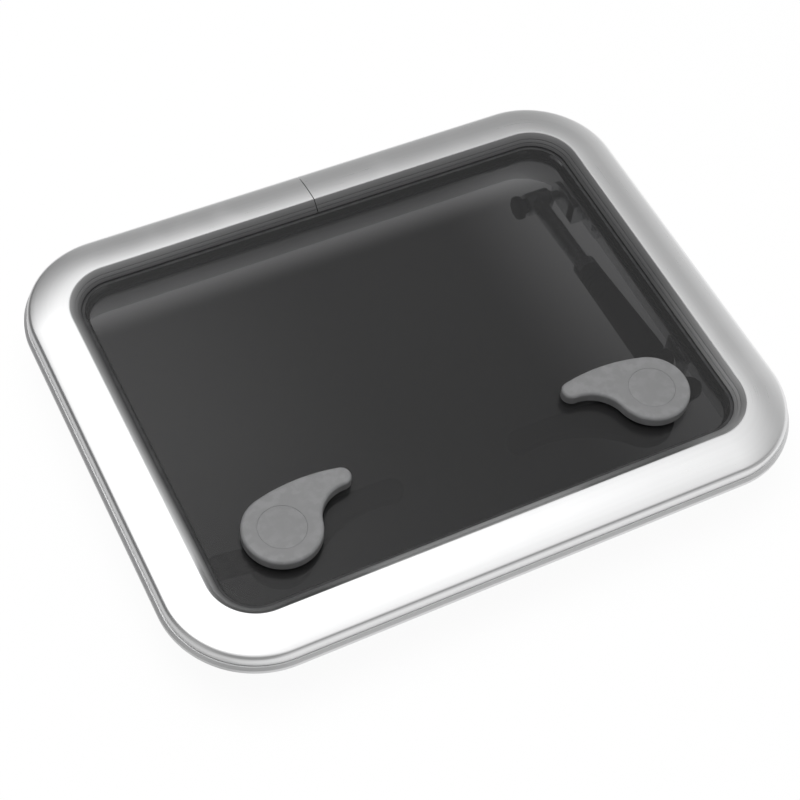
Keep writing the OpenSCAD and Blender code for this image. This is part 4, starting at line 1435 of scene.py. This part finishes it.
    def lever(self) -> None:
        """Makes the inner lever with its sunk underside, and its screw."""
        size = (self.lever_hub_r, self.lever_tip_r, self.lever_reach, self.lever_hollow_r, self.lever_bow_r)
        turn = self.place(self.lever_angle)
        low = self.lever_low
        outline = drop_outline(*size, self.outline_steps)
        lever = prism(self.name("lever"), outline, soft_levels(low, low + self.lever_t, 1.8, 1.0, 5), turn)
        inset = self.sunk_in
        inner = [Rim(p.x - p.nx * inset, p.y - p.ny * inset, p.nx, p.ny) for p in outline]
        levels = [(-self.sunk_slope, low - OVER, 0.0), (self.sunk_slope, low + self.sunk_depth, 0.0)]
        cut_away(lever, prism("sunk", inner, levels, turn))
        head_r = self.lever_head_r
        boss = round_bar("boss", self.boss_t, head_r + self.boss_w, 0.4, self.place(z=low), head_r / 2, 56)
        whole = joined(self.name("lever"), (lever, boss))
        dress(whole, MOULDED_BLACK, self.side.body, self.name("inner_lever"))
        head = pan_head(head_r, self.lever_head_t, recess=False)
        key = flat_outline(ngon(head_r * self.socket_share, 6, 0.05), 1)
        top = self.lever_head_t + OVER
        cut_away(head, prism("socket", key, [(0.0, self.socket_floor, 0.0), (0.0, top, 0.0)]))
        down = self.place() @ turned((0.0, 0.0, low), "X", 180.0)
        screw = copies(self.name("lever_bolt"), head, (down,))
        dress(screw, STAINLESS, self.side.body, self.name("lever_screw"))

    def build(self) -> None:
        """Makes and dresses the handle's pieces."""
        self.grip()
        self.bush()
        self.dog()
        self.lever()


@dataclass
class KeeperSet:
    """The two keepers on the front coaming wall, with their screws."""

    mid_x: float = 139.0
    half: float = 13.5
    wall_y: float = -141.0
    plate_t: float = 2.5
    reach: float = 12.0
    shelf_top: float = -3.9
    shelf_t: float = 4.5
    drop: float = 17.0
    soft: float = 0.5
    screw_x: float = 8.0
    screw_z: float = -18.0
    head: Pair = (3.1, 1.8)

    def build(self) -> None:
        """Makes and dresses the keepers and their screws."""
        shelf = self.shelf_top - self.shelf_t
        face = self.wall_y + self.plate_t
        tip = self.wall_y + self.reach
        section = [
            (self.wall_y, shelf - self.drop, 0.4), (face, shelf - self.drop, 0.8), (face, shelf, 1.2),
            (tip, shelf, 1.4), (tip, self.shelf_top, 0.8), (self.wall_y, self.shelf_top, 0.4),
        ]
        places: list[Matrix] = []
        for side in Side:
            mid = side.value * self.mid_x
            name = f"keeper_hook_{side.word}"
            keeper = plate_x(name, section, mid - self.half, mid + self.half, self.soft)
            dress(keeper, BARE_METAL, Body.BASE, f"keeper_{side.word}")
            for x in (mid - self.screw_x, mid + self.screw_x):
                places.append(turned((x, face, self.screw_z), "X", -90.0))
        screws = copies("keeper_bolts", pan_head(*self.head), places)
        dress(screws, STAINLESS, Body.BASE, "keeper_screws")


@dataclass
class HingeSet:
    """The two hinges in the flange's back edge and the key under the ring's joint."""

    length: float = 50.0
    count: int = 5
    gap: float = 0.3
    axis_y: float = 166.6
    axis_z: float = 2.3
    knuckle_r: float = 2.1
    pin_r: float = 1.05
    pin_gap: float = 0.03
    leaf_t: float = 1.2
    leaf_low: float = 3.2
    leaf_soft: float = 0.3
    web_soft: float = 0.15
    web_lap: Pair = (0.2, 0.5)
    base_from: float = 150.6
    base_to: float = 158.8
    base_head: Pair = (3.1, 1.26)
    lid_y: float = 161.0
    lid_low: float = 4.7
    lid_top: float = 9.5
    lid_head: Pair = (2.1, 1.2)
    screw_x: float = 15.0
    base_screw_y: float = 154.9
    lid_screw_z: float = 7.2
    key_low: float = 7.7
    key_y: float = 155.0
    key_half: Pair = (32.0, 4.0)
    key_t: float = 2.0
    rivet_xs: tuple[float, ...] = (-24.0, -10.0, 10.0, 24.0)

    def knuckles(self, mid: float, first: int) -> list[bpy.types.Object]:
        """Knuckles of one leaf, every other one, with the webs that join them to it.

        Args:
            mid: Middle of the hinge along X.
            first: Number of the first knuckle: 0 for the base's leaf, 1 for the lid's.

        Returns:
            The knuckles and webs.
        """
        pitch = self.length / self.count
        wide = pitch - self.gap
        base_lap, lid_lap = self.web_lap
        low = self.leaf_low + first * self.gap
        start = self.lid_y - self.leaf_t if first else self.base_to - base_lap
        top = self.axis_z + self.knuckle_r
        bore = self.pin_r + self.pin_gap
        made: list[bpy.types.Object] = []
        for i in range(first, self.count, 2):
            x = mid - self.length / 2 + i * pitch + self.gap / 2
            place = along_x(x, self.axis_y, self.axis_z)
            made.append(round_bar("knuckle", wide, self.knuckle_r, 0.25, place, bore, 40))
            made.append(block((x, start, low), (x + wide, self.axis_y, top), self.web_soft))
            if first:
                high = self.lid_low + lid_lap
                made.append(block((x, start, low), (x + wide, self.lid_y, high), self.web_soft))
        return made

    def key(self) -> None:
        """Makes the key under the ring's joint and its rivets."""
        long, wide = self.key_half
        low = self.key_low
        start = (PLAN.seam_x - long, self.key_y - wide, low)
        end = (PLAN.seam_x + long, self.key_y + wide, low + self.key_t)
        dress(block(start, end, self.leaf_soft, "joint_bar"), BARE_METAL, Body.LID, "joint_key")
        spots = [turned((PLAN.seam_x + x, self.key_y, low), "X", 180.0) for x in self.rivet_xs]
        rivets = copies("joint_rivets", pan_head(*self.lid_head, recess=False), spots)
        dress(rivets, STAINLESS, Body.LID, "joint_key_rivets")

    def build(self) -> None:
        """Makes and dresses the hinge leaves, their screws and the joint key."""
        half = self.length / 2 - self.gap / 2
        top = self.leaf_low + self.leaf_t
        inner = self.lid_y - self.leaf_t
        soft = self.leaf_soft
        base_spots: list[Matrix] = []
        lid_spots: list[Matrix] = []
        for side in Side:
            mid = side.value * PLAN.hinge_x
            low, high = mid - half, mid + half
            plate = block((low, self.base_from, self.leaf_low), (high, self.base_to, top), soft)
            base = joined(f"hinge_leaf_{side.word}", [plate, *self.knuckles(mid, 0)])
            dress(base, STAINLESS, Body.BASE, f"hinge_base_leaf_{side.word}")
            upright = block((low, inner, self.lid_low), (high, self.lid_y, self.lid_top), soft)
            leaf = joined(f"hinge_flap_{side.word}", [upright, *self.knuckles(mid, 1)])
            dress(leaf, STAINLESS, Body.LID, f"hinge_lid_leaf_{side.word}")
            for x in (mid - self.screw_x, mid + self.screw_x):
                base_spots.append(Matrix.Translation((x, self.base_screw_y, top)))
                lid_spots.append(turned((x, inner, self.lid_screw_z), "X", 90.0))
        base_screws = copies("hinge_bolts", pan_head(*self.base_head), base_spots)
        dress(base_screws, STAINLESS, Body.BASE, "hinge_base_screws")
        lid_screws = copies("flap_bolts", pan_head(*self.lid_head), lid_spots)
        dress(lid_screws, STAINLESS, Body.LID, "hinge_lid_screws")
        self.key()


@dataclass
class Stay:
    """The telescopic stay on the right: its foot, pin and knob, and its rod, tube, collar and stud."""

    x: float = 159.0
    rear: Pair = (106.0, -24.0)
    front: Pair = (-56.0, -14.0)
    soft: float = 0.8
    rod_r: float = 5.8
    rod_end: float = 146.3
    head_r: float = 8.0
    head_len: float = 18.0
    head_gap: float = 0.05
    collar_from: float = 66.0
    collar_teeth: int = 40
    collar_tooth: float = 0.45
    collar_gap: float = 0.05
    mouth: float = 73.0
    mouth_r: float = 8.2
    mouth_gap: float = 0.3
    tube_r: float = 10.2
    tube_end: float = 158.3
    tube_flat: float = 10.0
    tube_nose: float = 3.0
    tube_room: float = 1.5
    ribs: int = 6
    rib_from: float = 6.0
    rib_pitch: float = 4.0
    rib_depth: float = 0.55
    rib_soft: float = 0.25
    block_r: float = 6.0
    block_x: float = 169.6
    stud_r: float = 3.0
    stud_end: float = 175.6
    stud_in: float = 6.0
    clip_x: float = 173.9
    clip_t: float = 1.2
    clip_w: float = 2.2
    clip_gap: float = 0.03
    clip_slot: float = 1.6
    pin_r: float = 3.5
    pin_from: float = 144.6
    pin_to: float = 180.0
    pin_collar_x: float = 168.3
    pin_collar: float = 2.0
    knob_x: float = 149.7
    knob_r: float = 8.5
    knob_steps: int = 96
    knob_flutes: int = 8
    flute_depth: float = 0.7
    neck_share: float = 0.4
    arm: Pair = (176.0, 180.0)
    wall_x: float = 187.0
    plate_t: float = 2.5
    foot_y: Triple = (64.0, 84.0, 92.0)
    foot_half: float = 9.0
    foot_soft: float = 0.6
    foot_head: Pair = (3.1, 1.8)
    screw_ys: Pair = (68.0, 80.0)

    def frame_at(self, way: float = 0.0) -> Matrix:
        """Transform that lays +Z along the stay from its base pivot, some way up it."""
        run, rise = self.rear[0] - self.front[0], self.front[1] - self.rear[1]
        tilt = math.degrees(math.atan2(rise, run))
        return turned((self.x, *self.rear), "X", 90.0 - tilt) @ Matrix.Translation((0.0, 0.0, way))

    def rod(self) -> None:
        """Makes the rod with the barrel of its head."""
        shaft = round_bar("shaft", self.rod_end, self.rod_r, self.soft, self.frame_at())
        place = along_x(self.x - self.head_len / 2, *self.rear)
        bore = self.pin_r + self.head_gap
        barrel = round_bar("barrel", self.head_len, self.head_r, self.soft, place, bore)
        dress(joined("rod", (shaft, barrel)), STAINLESS, Body.STAY_ARM, "stay_rod")

    def tube(self) -> None:
        """Makes the ribbed tube and its block."""
        end, wide = self.tube_end, self.tube_r
        grow = (wide - self.mouth_r) / (end - self.tube_flat - self.mouth)
        bore, floor = self.rod_r + self.mouth_gap, self.rod_end + self.tube_room
        outer: list[Triple] = [(0.0, floor, 0.0), (bore, floor, 0.0)]
        outer += [(bore, self.mouth, 0.3), (self.mouth_r, self.mouth, 0.5)]
        for i in range(self.ribs):
            s = self.mouth + self.rib_from + self.rib_pitch * i
            r = self.mouth_r + grow * (s - self.mouth)
            deep = r - self.rib_depth
            for rib_r, way in ((r, 0.0), (deep, 0.5), (deep, 1.3), (r, 1.8)):
                outer.append((rib_r, s + way, self.rib_soft))
        outer += [(wide, end - self.tube_flat, 2.0), (wide, end - self.tube_nose, 1.2)]
        outer += [(wide - self.tube_nose, end, 1.2), (0.0, end, 0.0)]
        sleeve = lathe("sleeve", rounded(outer, closed=False, steps=3), self.frame_at(), 56)
        start = self.x - self.block_r
        lug = round_bar("lug", self.block_x - start, self.block_r, 0.9, along_x(start, *self.front))
        dress(joined("tube", (sleeve, lug)), MOULDED_BLACK, Body.STAY_SLIDER, "stay_tube")

    def collar(self) -> None:
        """Makes the knurled clamp collar."""
        rims: list[Triple] = []
        for i in range(2 * self.collar_teeth):
            r = self.mouth_r - (self.collar_tooth if i % 2 else 0.0)
            a = math.pi * i / self.collar_teeth
            rims.append((r * math.cos(a), r * math.sin(a), 0.0))
        long = self.mouth - self.collar_from
        levels = soft_levels(0.0, long, 0.6, 0.3, 2)
        knurl = prism("collar", flat_outline(rims), levels, self.frame_at(self.collar_from))
        start = self.frame_at(self.collar_from - OVER)
        cut_away(knurl, round_bar("bore", long + 2 * OVER, self.rod_r + self.collar_gap, 0.0, start))
        dress(knurl, STAINLESS, Body.STAY_SLIDER, "stay_collar")

    def stud(self) -> None:
        """Makes the stud that runs in the lid's bracket, and its clip."""
        start = self.block_x - self.stud_in
        stud = round_bar("stud", self.stud_end - start, self.stud_r, 0.5, along_x(start, *self.front))
        dress(stud, STAINLESS, Body.STAY_SLIDER, "stay_stud")
        place = along_x(self.clip_x, *self.front)
        outer, bore = self.stud_r + self.clip_w, self.stud_r + self.clip_gap
        clip = round_bar("clip", self.clip_t, outer, 0.25, place, bore)
        y, z = self.front
        low = (self.clip_x - OVER, y - self.clip_slot, z - self.stud_r * 3)
        high = (self.clip_x + 3 * OVER, y + self.clip_slot, z)
        cut_away(clip, block(low, high, 0.0))
        dress(clip, STAINLESS, Body.STAY_SLIDER, "stay_stud_clip")

    def foot(self) -> None:
        """Makes the bracket on the coaming and its screws."""
        y0, y1, y2 = self.foot_y
        mid_y, mid_z = self.rear
        low, high = mid_z - self.foot_half, mid_z + self.foot_half
        end, bend, soft = mid_y + self.foot_half, self.foot_half - SHY, self.foot_soft
        corners = [(y1, low, soft), (end, low, bend), (end, high, bend), (y1, high, soft)]
        arm = plate_x("arm", corners, *self.arm, 0.5)
        web = block((self.arm[0], y1, low), (self.wall_x, y2, high), soft)
        inner = self.wall_x - self.plate_t
        corners = [(y0, low, 3.0), (y2, low, soft), (y2, high, soft), (y0, high, 3.0)]
        plate = plate_x("plate", corners, inner, self.wall_x, 0.4)
        dress(joined("foot", (arm, web, plate)), STAINLESS, Body.BASE, "stay_base_bracket")
        spots = [turned((inner, y, mid_z), "Y", -90.0) for y in self.screw_ys]
        screws = copies("foot_bolts", pan_head(*self.foot_head), spots)
        dress(screws, STAINLESS, Body.BASE, "stay_base_screws")

    def pin(self) -> None:
        """Makes the pin through the bracket, with its collar."""
        start, end = self.pin_collar_x - self.pin_from, self.pin_to - self.pin_from
        wide, stop = self.pin_r + self.pin_collar, start + self.pin_collar
        section = [(0.0, 0.0, 0.0), (self.pin_r, 0.0, 0.0), (self.pin_r, start, 0.0), (wide, start, 0.3)]
        section += [(wide, stop, 0.3), (self.pin_r, stop, 0.0), (self.pin_r, end, 0.4), (0.0, end, 0.0)]
        pin = lathe("pin", rounded(section, closed=False), along_x(self.pin_from, *self.rear), 40)
        dress(pin, STAINLESS, Body.BASE, "stay_base_pin")

    def knob(self) -> None:
        """Makes the fluted knob on the pin's end."""
        flutes: list[Triple] = []
        for i in range(self.knob_steps):
            a = 2 * math.pi * i / self.knob_steps
            r = self.knob_r - self.flute_depth * max(0.0, math.cos(self.knob_flutes * a)) ** 2
            flutes.append((r * math.cos(a), r * math.sin(a), 0.0))
        neck = self.knob_r * self.neck_share
        levels = [(neck, 0.0, 0.0), (neck, 2.55, 0.0), (0.5, 3.4, 1.0), (0.0, 4.2, 1.0), (0.0, 6.6, 1.0)]
        levels += [(0.4, 7.6, 1.0), (1.3, 8.2, 1.0), (2.4, 8.5, 0.0)]
        knob = prism("knob", flat_outline(flutes), levels, turned((self.knob_x, *self.rear), "Y", -90.0))
        dress(knob, MOULDED_BLACK, Body.BASE, "stay_pin_knob")

    def build(self) -> None:
        """Makes and dresses the stay's pieces."""
        for make in (self.rod, self.tube, self.collar, self.stud, self.foot, self.pin, self.knob):
            make()


@dataclass
class LidBracket:
    """The slotted bracket under the pane's lip that carries the stay's stud."""

    x0: float = 171.1
    plate_t: float = 2.5
    flange_x: float = 180.5
    low_y: float = -71.2
    high_y: float = -47.1
    low_z: float = -31.3
    slot_r: float = 3.9
    near: Pair = (-56.0, -14.0)
    far: Pair = (-62.3, -23.4)
    head: Pair = (2.1, 1.2)
    screw_x: float = 176.5
    screw_ys: Pair = (-69.0, -50.0)

    def build(self) -> None:
        """Makes and dresses the bracket and its screws."""
        x1 = self.x0 + self.plate_t
        lip, under = PLAN.lip_z, PLAN.lip_z - self.plate_t
        corners = [
            (self.low_y, self.low_z, 5.0), (self.high_y, self.low_z, 5.0),
            (self.high_y, lip, 0.6), (self.low_y, lip, 0.6),
        ]
        plate = plate_x("plate", corners, self.x0, x1, 0.4)
        near, far = Vector(self.near), Vector(self.far)
        along = (far - near).normalized() * self.slot_r
        side = Vector((-along.y, along.x))
        ends = (near + side - along, far + side + along, far - side + along, near - side - along)
        slot_corners = [(p.x, p.y, self.slot_r - SHY) for p in ends]
        cut_away(plate, plate_x("slot", slot_corners, self.x0 - OVER, x1 + OVER, 0.0))
        top = block((self.x0, self.low_y, under), (self.flange_x, self.high_y, lip), 0.5)
        dress(joined("lid_foot", (plate, top)), STAINLESS, Body.LID, "stay_lid_bracket")
        spots = [turned((self.screw_x, y, under), "X", 180.0) for y in self.screw_ys]
        screws = copies("lid_foot_bolts", pan_head(*self.head), spots)
        dress(screws, STAINLESS, Body.LID, "stay_lid_screws")


@dataclass(frozen=True)
class Glow:
    """One soft panel of the studio's light, as a round patch of the sky."""

    axis: Triple
    edge: Pair
    level: float


GLOWS = (
    Glow((0.0, 0.0, 1.0), (0.643, 0.985), 0.84),
    Glow((0.962, 0.258, -0.087), (0.643, 0.985), 0.816),
    Glow((-0.126, 0.387, 0.914), (0.866, 0.998), 0.92),
    Glow((-0.498, -0.863, -0.087), (0.259, 0.951), 0.144),
    Glow((0.258, 0.962, -0.087), (0.866, 0.998), 0.576),
    Glow((0.126, 0.387, 0.914), (0.84, 0.99), 0.288),
    Glow((0.55, 0.55, 0.63), (0.60, 0.98), 0.128),
    Glow((0.803, -0.488, 0.342), (0.866, 0.998), 0.28),
    Glow((-0.931, -0.128, 0.342), (0.866, 0.998), 0.20),
    Glow((0.31, -0.93, 0.18), (0.88, 0.99), 0.42),
)


@dataclass(frozen=True)
class Ramp:
    """A smooth change of level over the floor, along X (0) or Y (1), in metres."""

    axis: int
    source: Pair
    target: Pair


# Painted light on the floor under the hatch, which glows at this level in place of the light that reaches
# it: a sum of products of ramps
UNDER_LIGHT = (
    (Ramp(0, (0.00, -0.20), (0.0, 0.16)), Ramp(1, (-0.12, 0.04), (0.4, 1.0))),
    (Ramp(0, (0.09, 0.20), (0.0, 0.55)), Ramp(1, (-0.12, 0.08), (0.5, 1.0))),
    (Ramp(1, (-0.08, 0.12), (0.0, 0.05)),),
    (Ramp(1, (0.12, 0.15), (0.0, 1.0)),),
)
# Where the floor comes out from under the hatch
OUTSIDE = (Ramp(0, (0.195, 0.225), (0.0, 1.0)), Ramp(1, (0.148, 0.178), (0.0, 1.0)))


@dataclass
class Studio:
    """Floor, light and camera."""

    floor_z: float = -36.2
    floor_size: float = 9.0
    floor_tone: Triple = (0.86, 0.86, 0.86)
    floor_white: float = 0.94
    # Painted level at which the open floor glows to gloss, lower towards the left by left_run and
    # left_share
    floor_gloss: float = 0.90
    left_run: Pair = (-0.12, -0.30)
    left_share: float = 0.66
    under_level: float = 0.02
    room: float = 0.16
    lamp_at: Triple = (-0.2, 0.1, 1.6)
    lamp_size: Pair = (1.4, 1.2)
    lamp_watts: float = 16.0
    eye: Triple = (-392.07, -625.03, 976.77)
    right: Triple = (0.89311, -0.44427, 0.07060)
    up: Triple = (0.32430, 0.74464, 0.58339)
    ahead: Triple = (0.31175, 0.49813, -0.80912)
    sensor: float = 36.0
    lens: float = 85.345

    def floor(self) -> None:
        """A pale floor that shows white to the camera, and glows at a painted level to gloss and through
        the pane.
        """
        half, z = self.floor_size / 2, self.floor_z * MM
        mesh = bpy.data.meshes.new("floor")
        corners = [(-half, -half, z), (half, -half, z), (half, half, z), (-half, half, z)]
        mesh.from_pydata(corners, [], [(0, 1, 2, 3)])
        floor = bpy.data.objects.new("floor", mesh)
        bpy.context.scene.collection.objects.link(floor)
        paint = bpy.data.materials.new("pale_floor")
        paint.use_nodes = True
        kit = Nodes(paint.node_tree)
        matt = kit.add("BsdfDiffuse")
        kit.fill(matt, {"Color": (*self.floor_tone, 1.0)})
        ray = kit.add("LightPath")
        bent = kit.maths("MAXIMUM", ray.outputs["Is Glossy Ray"], ray.outputs["Is Transmission Ray"])
        shown = kit.maths("MULTIPLY", ray.outputs["Is Camera Ray"], self.floor_white)
        white = kit.add("Emission")
        away = kit.maths("SUBTRACT", 1.0, bent)
        kit.fill(white, {"Strength": kit.maths("MAXIMUM", self.floor_level(kit), away)})
        blend = kit.add("MixShader")
        seen = kit.maths("MAXIMUM", shown, bent)
        kit.fill(blend, {0: seen, 1: matt.outputs[0], 2: white.outputs[0]})
        surface = self.clear_below(kit, blend.outputs[0], ray)
        kit.fill(kit.add("OutputMaterial"), {"Surface": surface})
        mesh.materials.append(paint)

    def clear_below(
        self, kit: Nodes, paint: bpy.types.NodeSocket, ray: bpy.types.Node
    ) -> bpy.types.NodeSocket:
        """Lets the camera look through the floor from below, so that the underside can be seen.

        Args:
            kit: Tree of the floor's material.
            paint: Shader of the floor as it is seen from above.
            ray: Node that tells the kinds of ray apart.

        Returns:
            The shader's socket.
        """
        face = kit.add("NewGeometry")
        sight = kit.add("MixShader")
        below = kit.maths("MULTIPLY", face.outputs["Backfacing"], ray.outputs["Is Camera Ray"])
        kit.fill(sight, {0: below, 1: paint, 2: kit.add("BsdfTransparent").outputs[0]})
        return sight.outputs[0]

    def floor_level(self, kit: Nodes) -> bpy.types.NodeSocket:
        """Level at which the floor glows to gloss and through the pane: a painted shade under the hatch
        with painted light there, and painted dimmer on the left.

        Args:
            kit: Tree of the floor's material.

        Returns:
            The level's socket.
        """
        spot = kit.add("SeparateXYZ")
        kit.link(kit.add("NewGeometry").outputs["Position"], spot.inputs[0])
        level: object = self.under_level
        for ramps in UNDER_LIGHT:
            light: object = 1.0
            for ramp in ramps:
                share = kit.span(spot.outputs[ramp.axis], ramp.source, ramp.target)
                light = kit.maths("MULTIPLY", share, light)
            level = kit.maths("ADD", light, level)
        outside: object = 0.0
        for ramp in OUTSIDE:
            far = kit.maths("ABSOLUTE", spot.outputs[ramp.axis], 0.0)
            outside = kit.maths("MAXIMUM", kit.span(far, ramp.source, ramp.target), outside)
        gloss = self.floor_gloss
        open_level = kit.span(spot.outputs[0], self.left_run, (gloss, gloss * self.left_share))
        lit = kit.maths("MULTIPLY", outside, open_level)
        under = kit.maths("MULTIPLY", kit.maths("SUBTRACT", 1.0, outside), level)
        return kit.maths("ADD", lit, under)

    def sky(self) -> None:
        """Soft panels of light in a dim room, white behind the object."""
        world = bpy.data.worlds.new("studio")
        bpy.context.scene.world = world
        world.use_nodes = True
        kit = Nodes(world.node_tree)
        where = kit.add("TexCoord")
        level: object = self.room
        for glow in GLOWS:
            dot = kit.add("VectorMath", operation="DOT_PRODUCT")
            kit.fill(dot, {0: where.outputs["Generated"], 1: Vector(glow.axis).normalized()})
            level = kit.maths("ADD", kit.span(dot.outputs["Value"], glow.edge, (0.0, glow.level)), level)
        shown = kit.maths("MAXIMUM", kit.add("LightPath").outputs["Is Camera Ray"], level)
        back = kit.add("Background")
        kit.fill(back, {"Color": (1.0, 1.0, 1.0, 1.0), "Strength": shown})
        kit.fill(kit.add("OutputWorld"), {"Surface": back.outputs[0]})

    def lamp(self) -> None:
        """A soft lamp overhead, aimed at the hatch and left out of reflections."""
        data = bpy.data.lights.new("overhead", "AREA")
        data.shape = "RECTANGLE"
        data.size, data.size_y = self.lamp_size
        data.energy = self.lamp_watts
        lamp = bpy.data.objects.new("overhead", data)
        lamp.location = self.lamp_at
        lamp.rotation_mode = "QUATERNION"
        lamp.rotation_quaternion = (-Vector(self.lamp_at)).to_track_quat("-Z", "Y")
        lamp.visible_glossy = False
        lamp.visible_transmission = False
        bpy.context.scene.collection.objects.link(lamp)

    def camera(self) -> None:
        """The camera at the photograph's viewing angle."""
        data = bpy.data.cameras.new("camera")
        data.sensor_width = self.sensor
        data.lens = self.lens
        camera = bpy.data.objects.new("camera", data)
        back = -Vector(self.ahead)
        turn = Matrix((self.right, self.up, tuple(back))).transposed()
        camera.matrix_world = Matrix.Translation(Vector(self.eye) * MM) @ turn.to_4x4()
        bpy.context.scene.collection.objects.link(camera)
        bpy.context.scene.camera = camera

    def build(self) -> None:
        """Sets the stage."""
        bpy.context.scene.view_settings.view_transform = "Standard"
        self.floor()
        self.sky()
        self.lamp()
        self.camera()


def dress_left_nodes() -> None:
    """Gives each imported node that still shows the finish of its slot."""
    slots = {s["node"]: Slot(s["material_slot"]) for s in frame["record"]["subparts"]}
    for name, node in frame["nodes"].items():
        for place in node.material_slots:
            place.material = PACKED[slots[name]].material()


def main() -> None:
    """Builds every sub-assembly in order and reports each piece."""
    logging.basicConfig(level=logging.INFO, format="%(name)s: %(message)s")
    LidRing().build()
    BaseFrame().build()
    PaneSet().build()
    for side in Side:
        Handle(side).build()
    KeeperSet().build()
    HingeSet().build()
    Stay().build()
    LidBracket().build()
    dress_left_nodes()
    Studio().build()


if __name__ == "__main__":
    main()
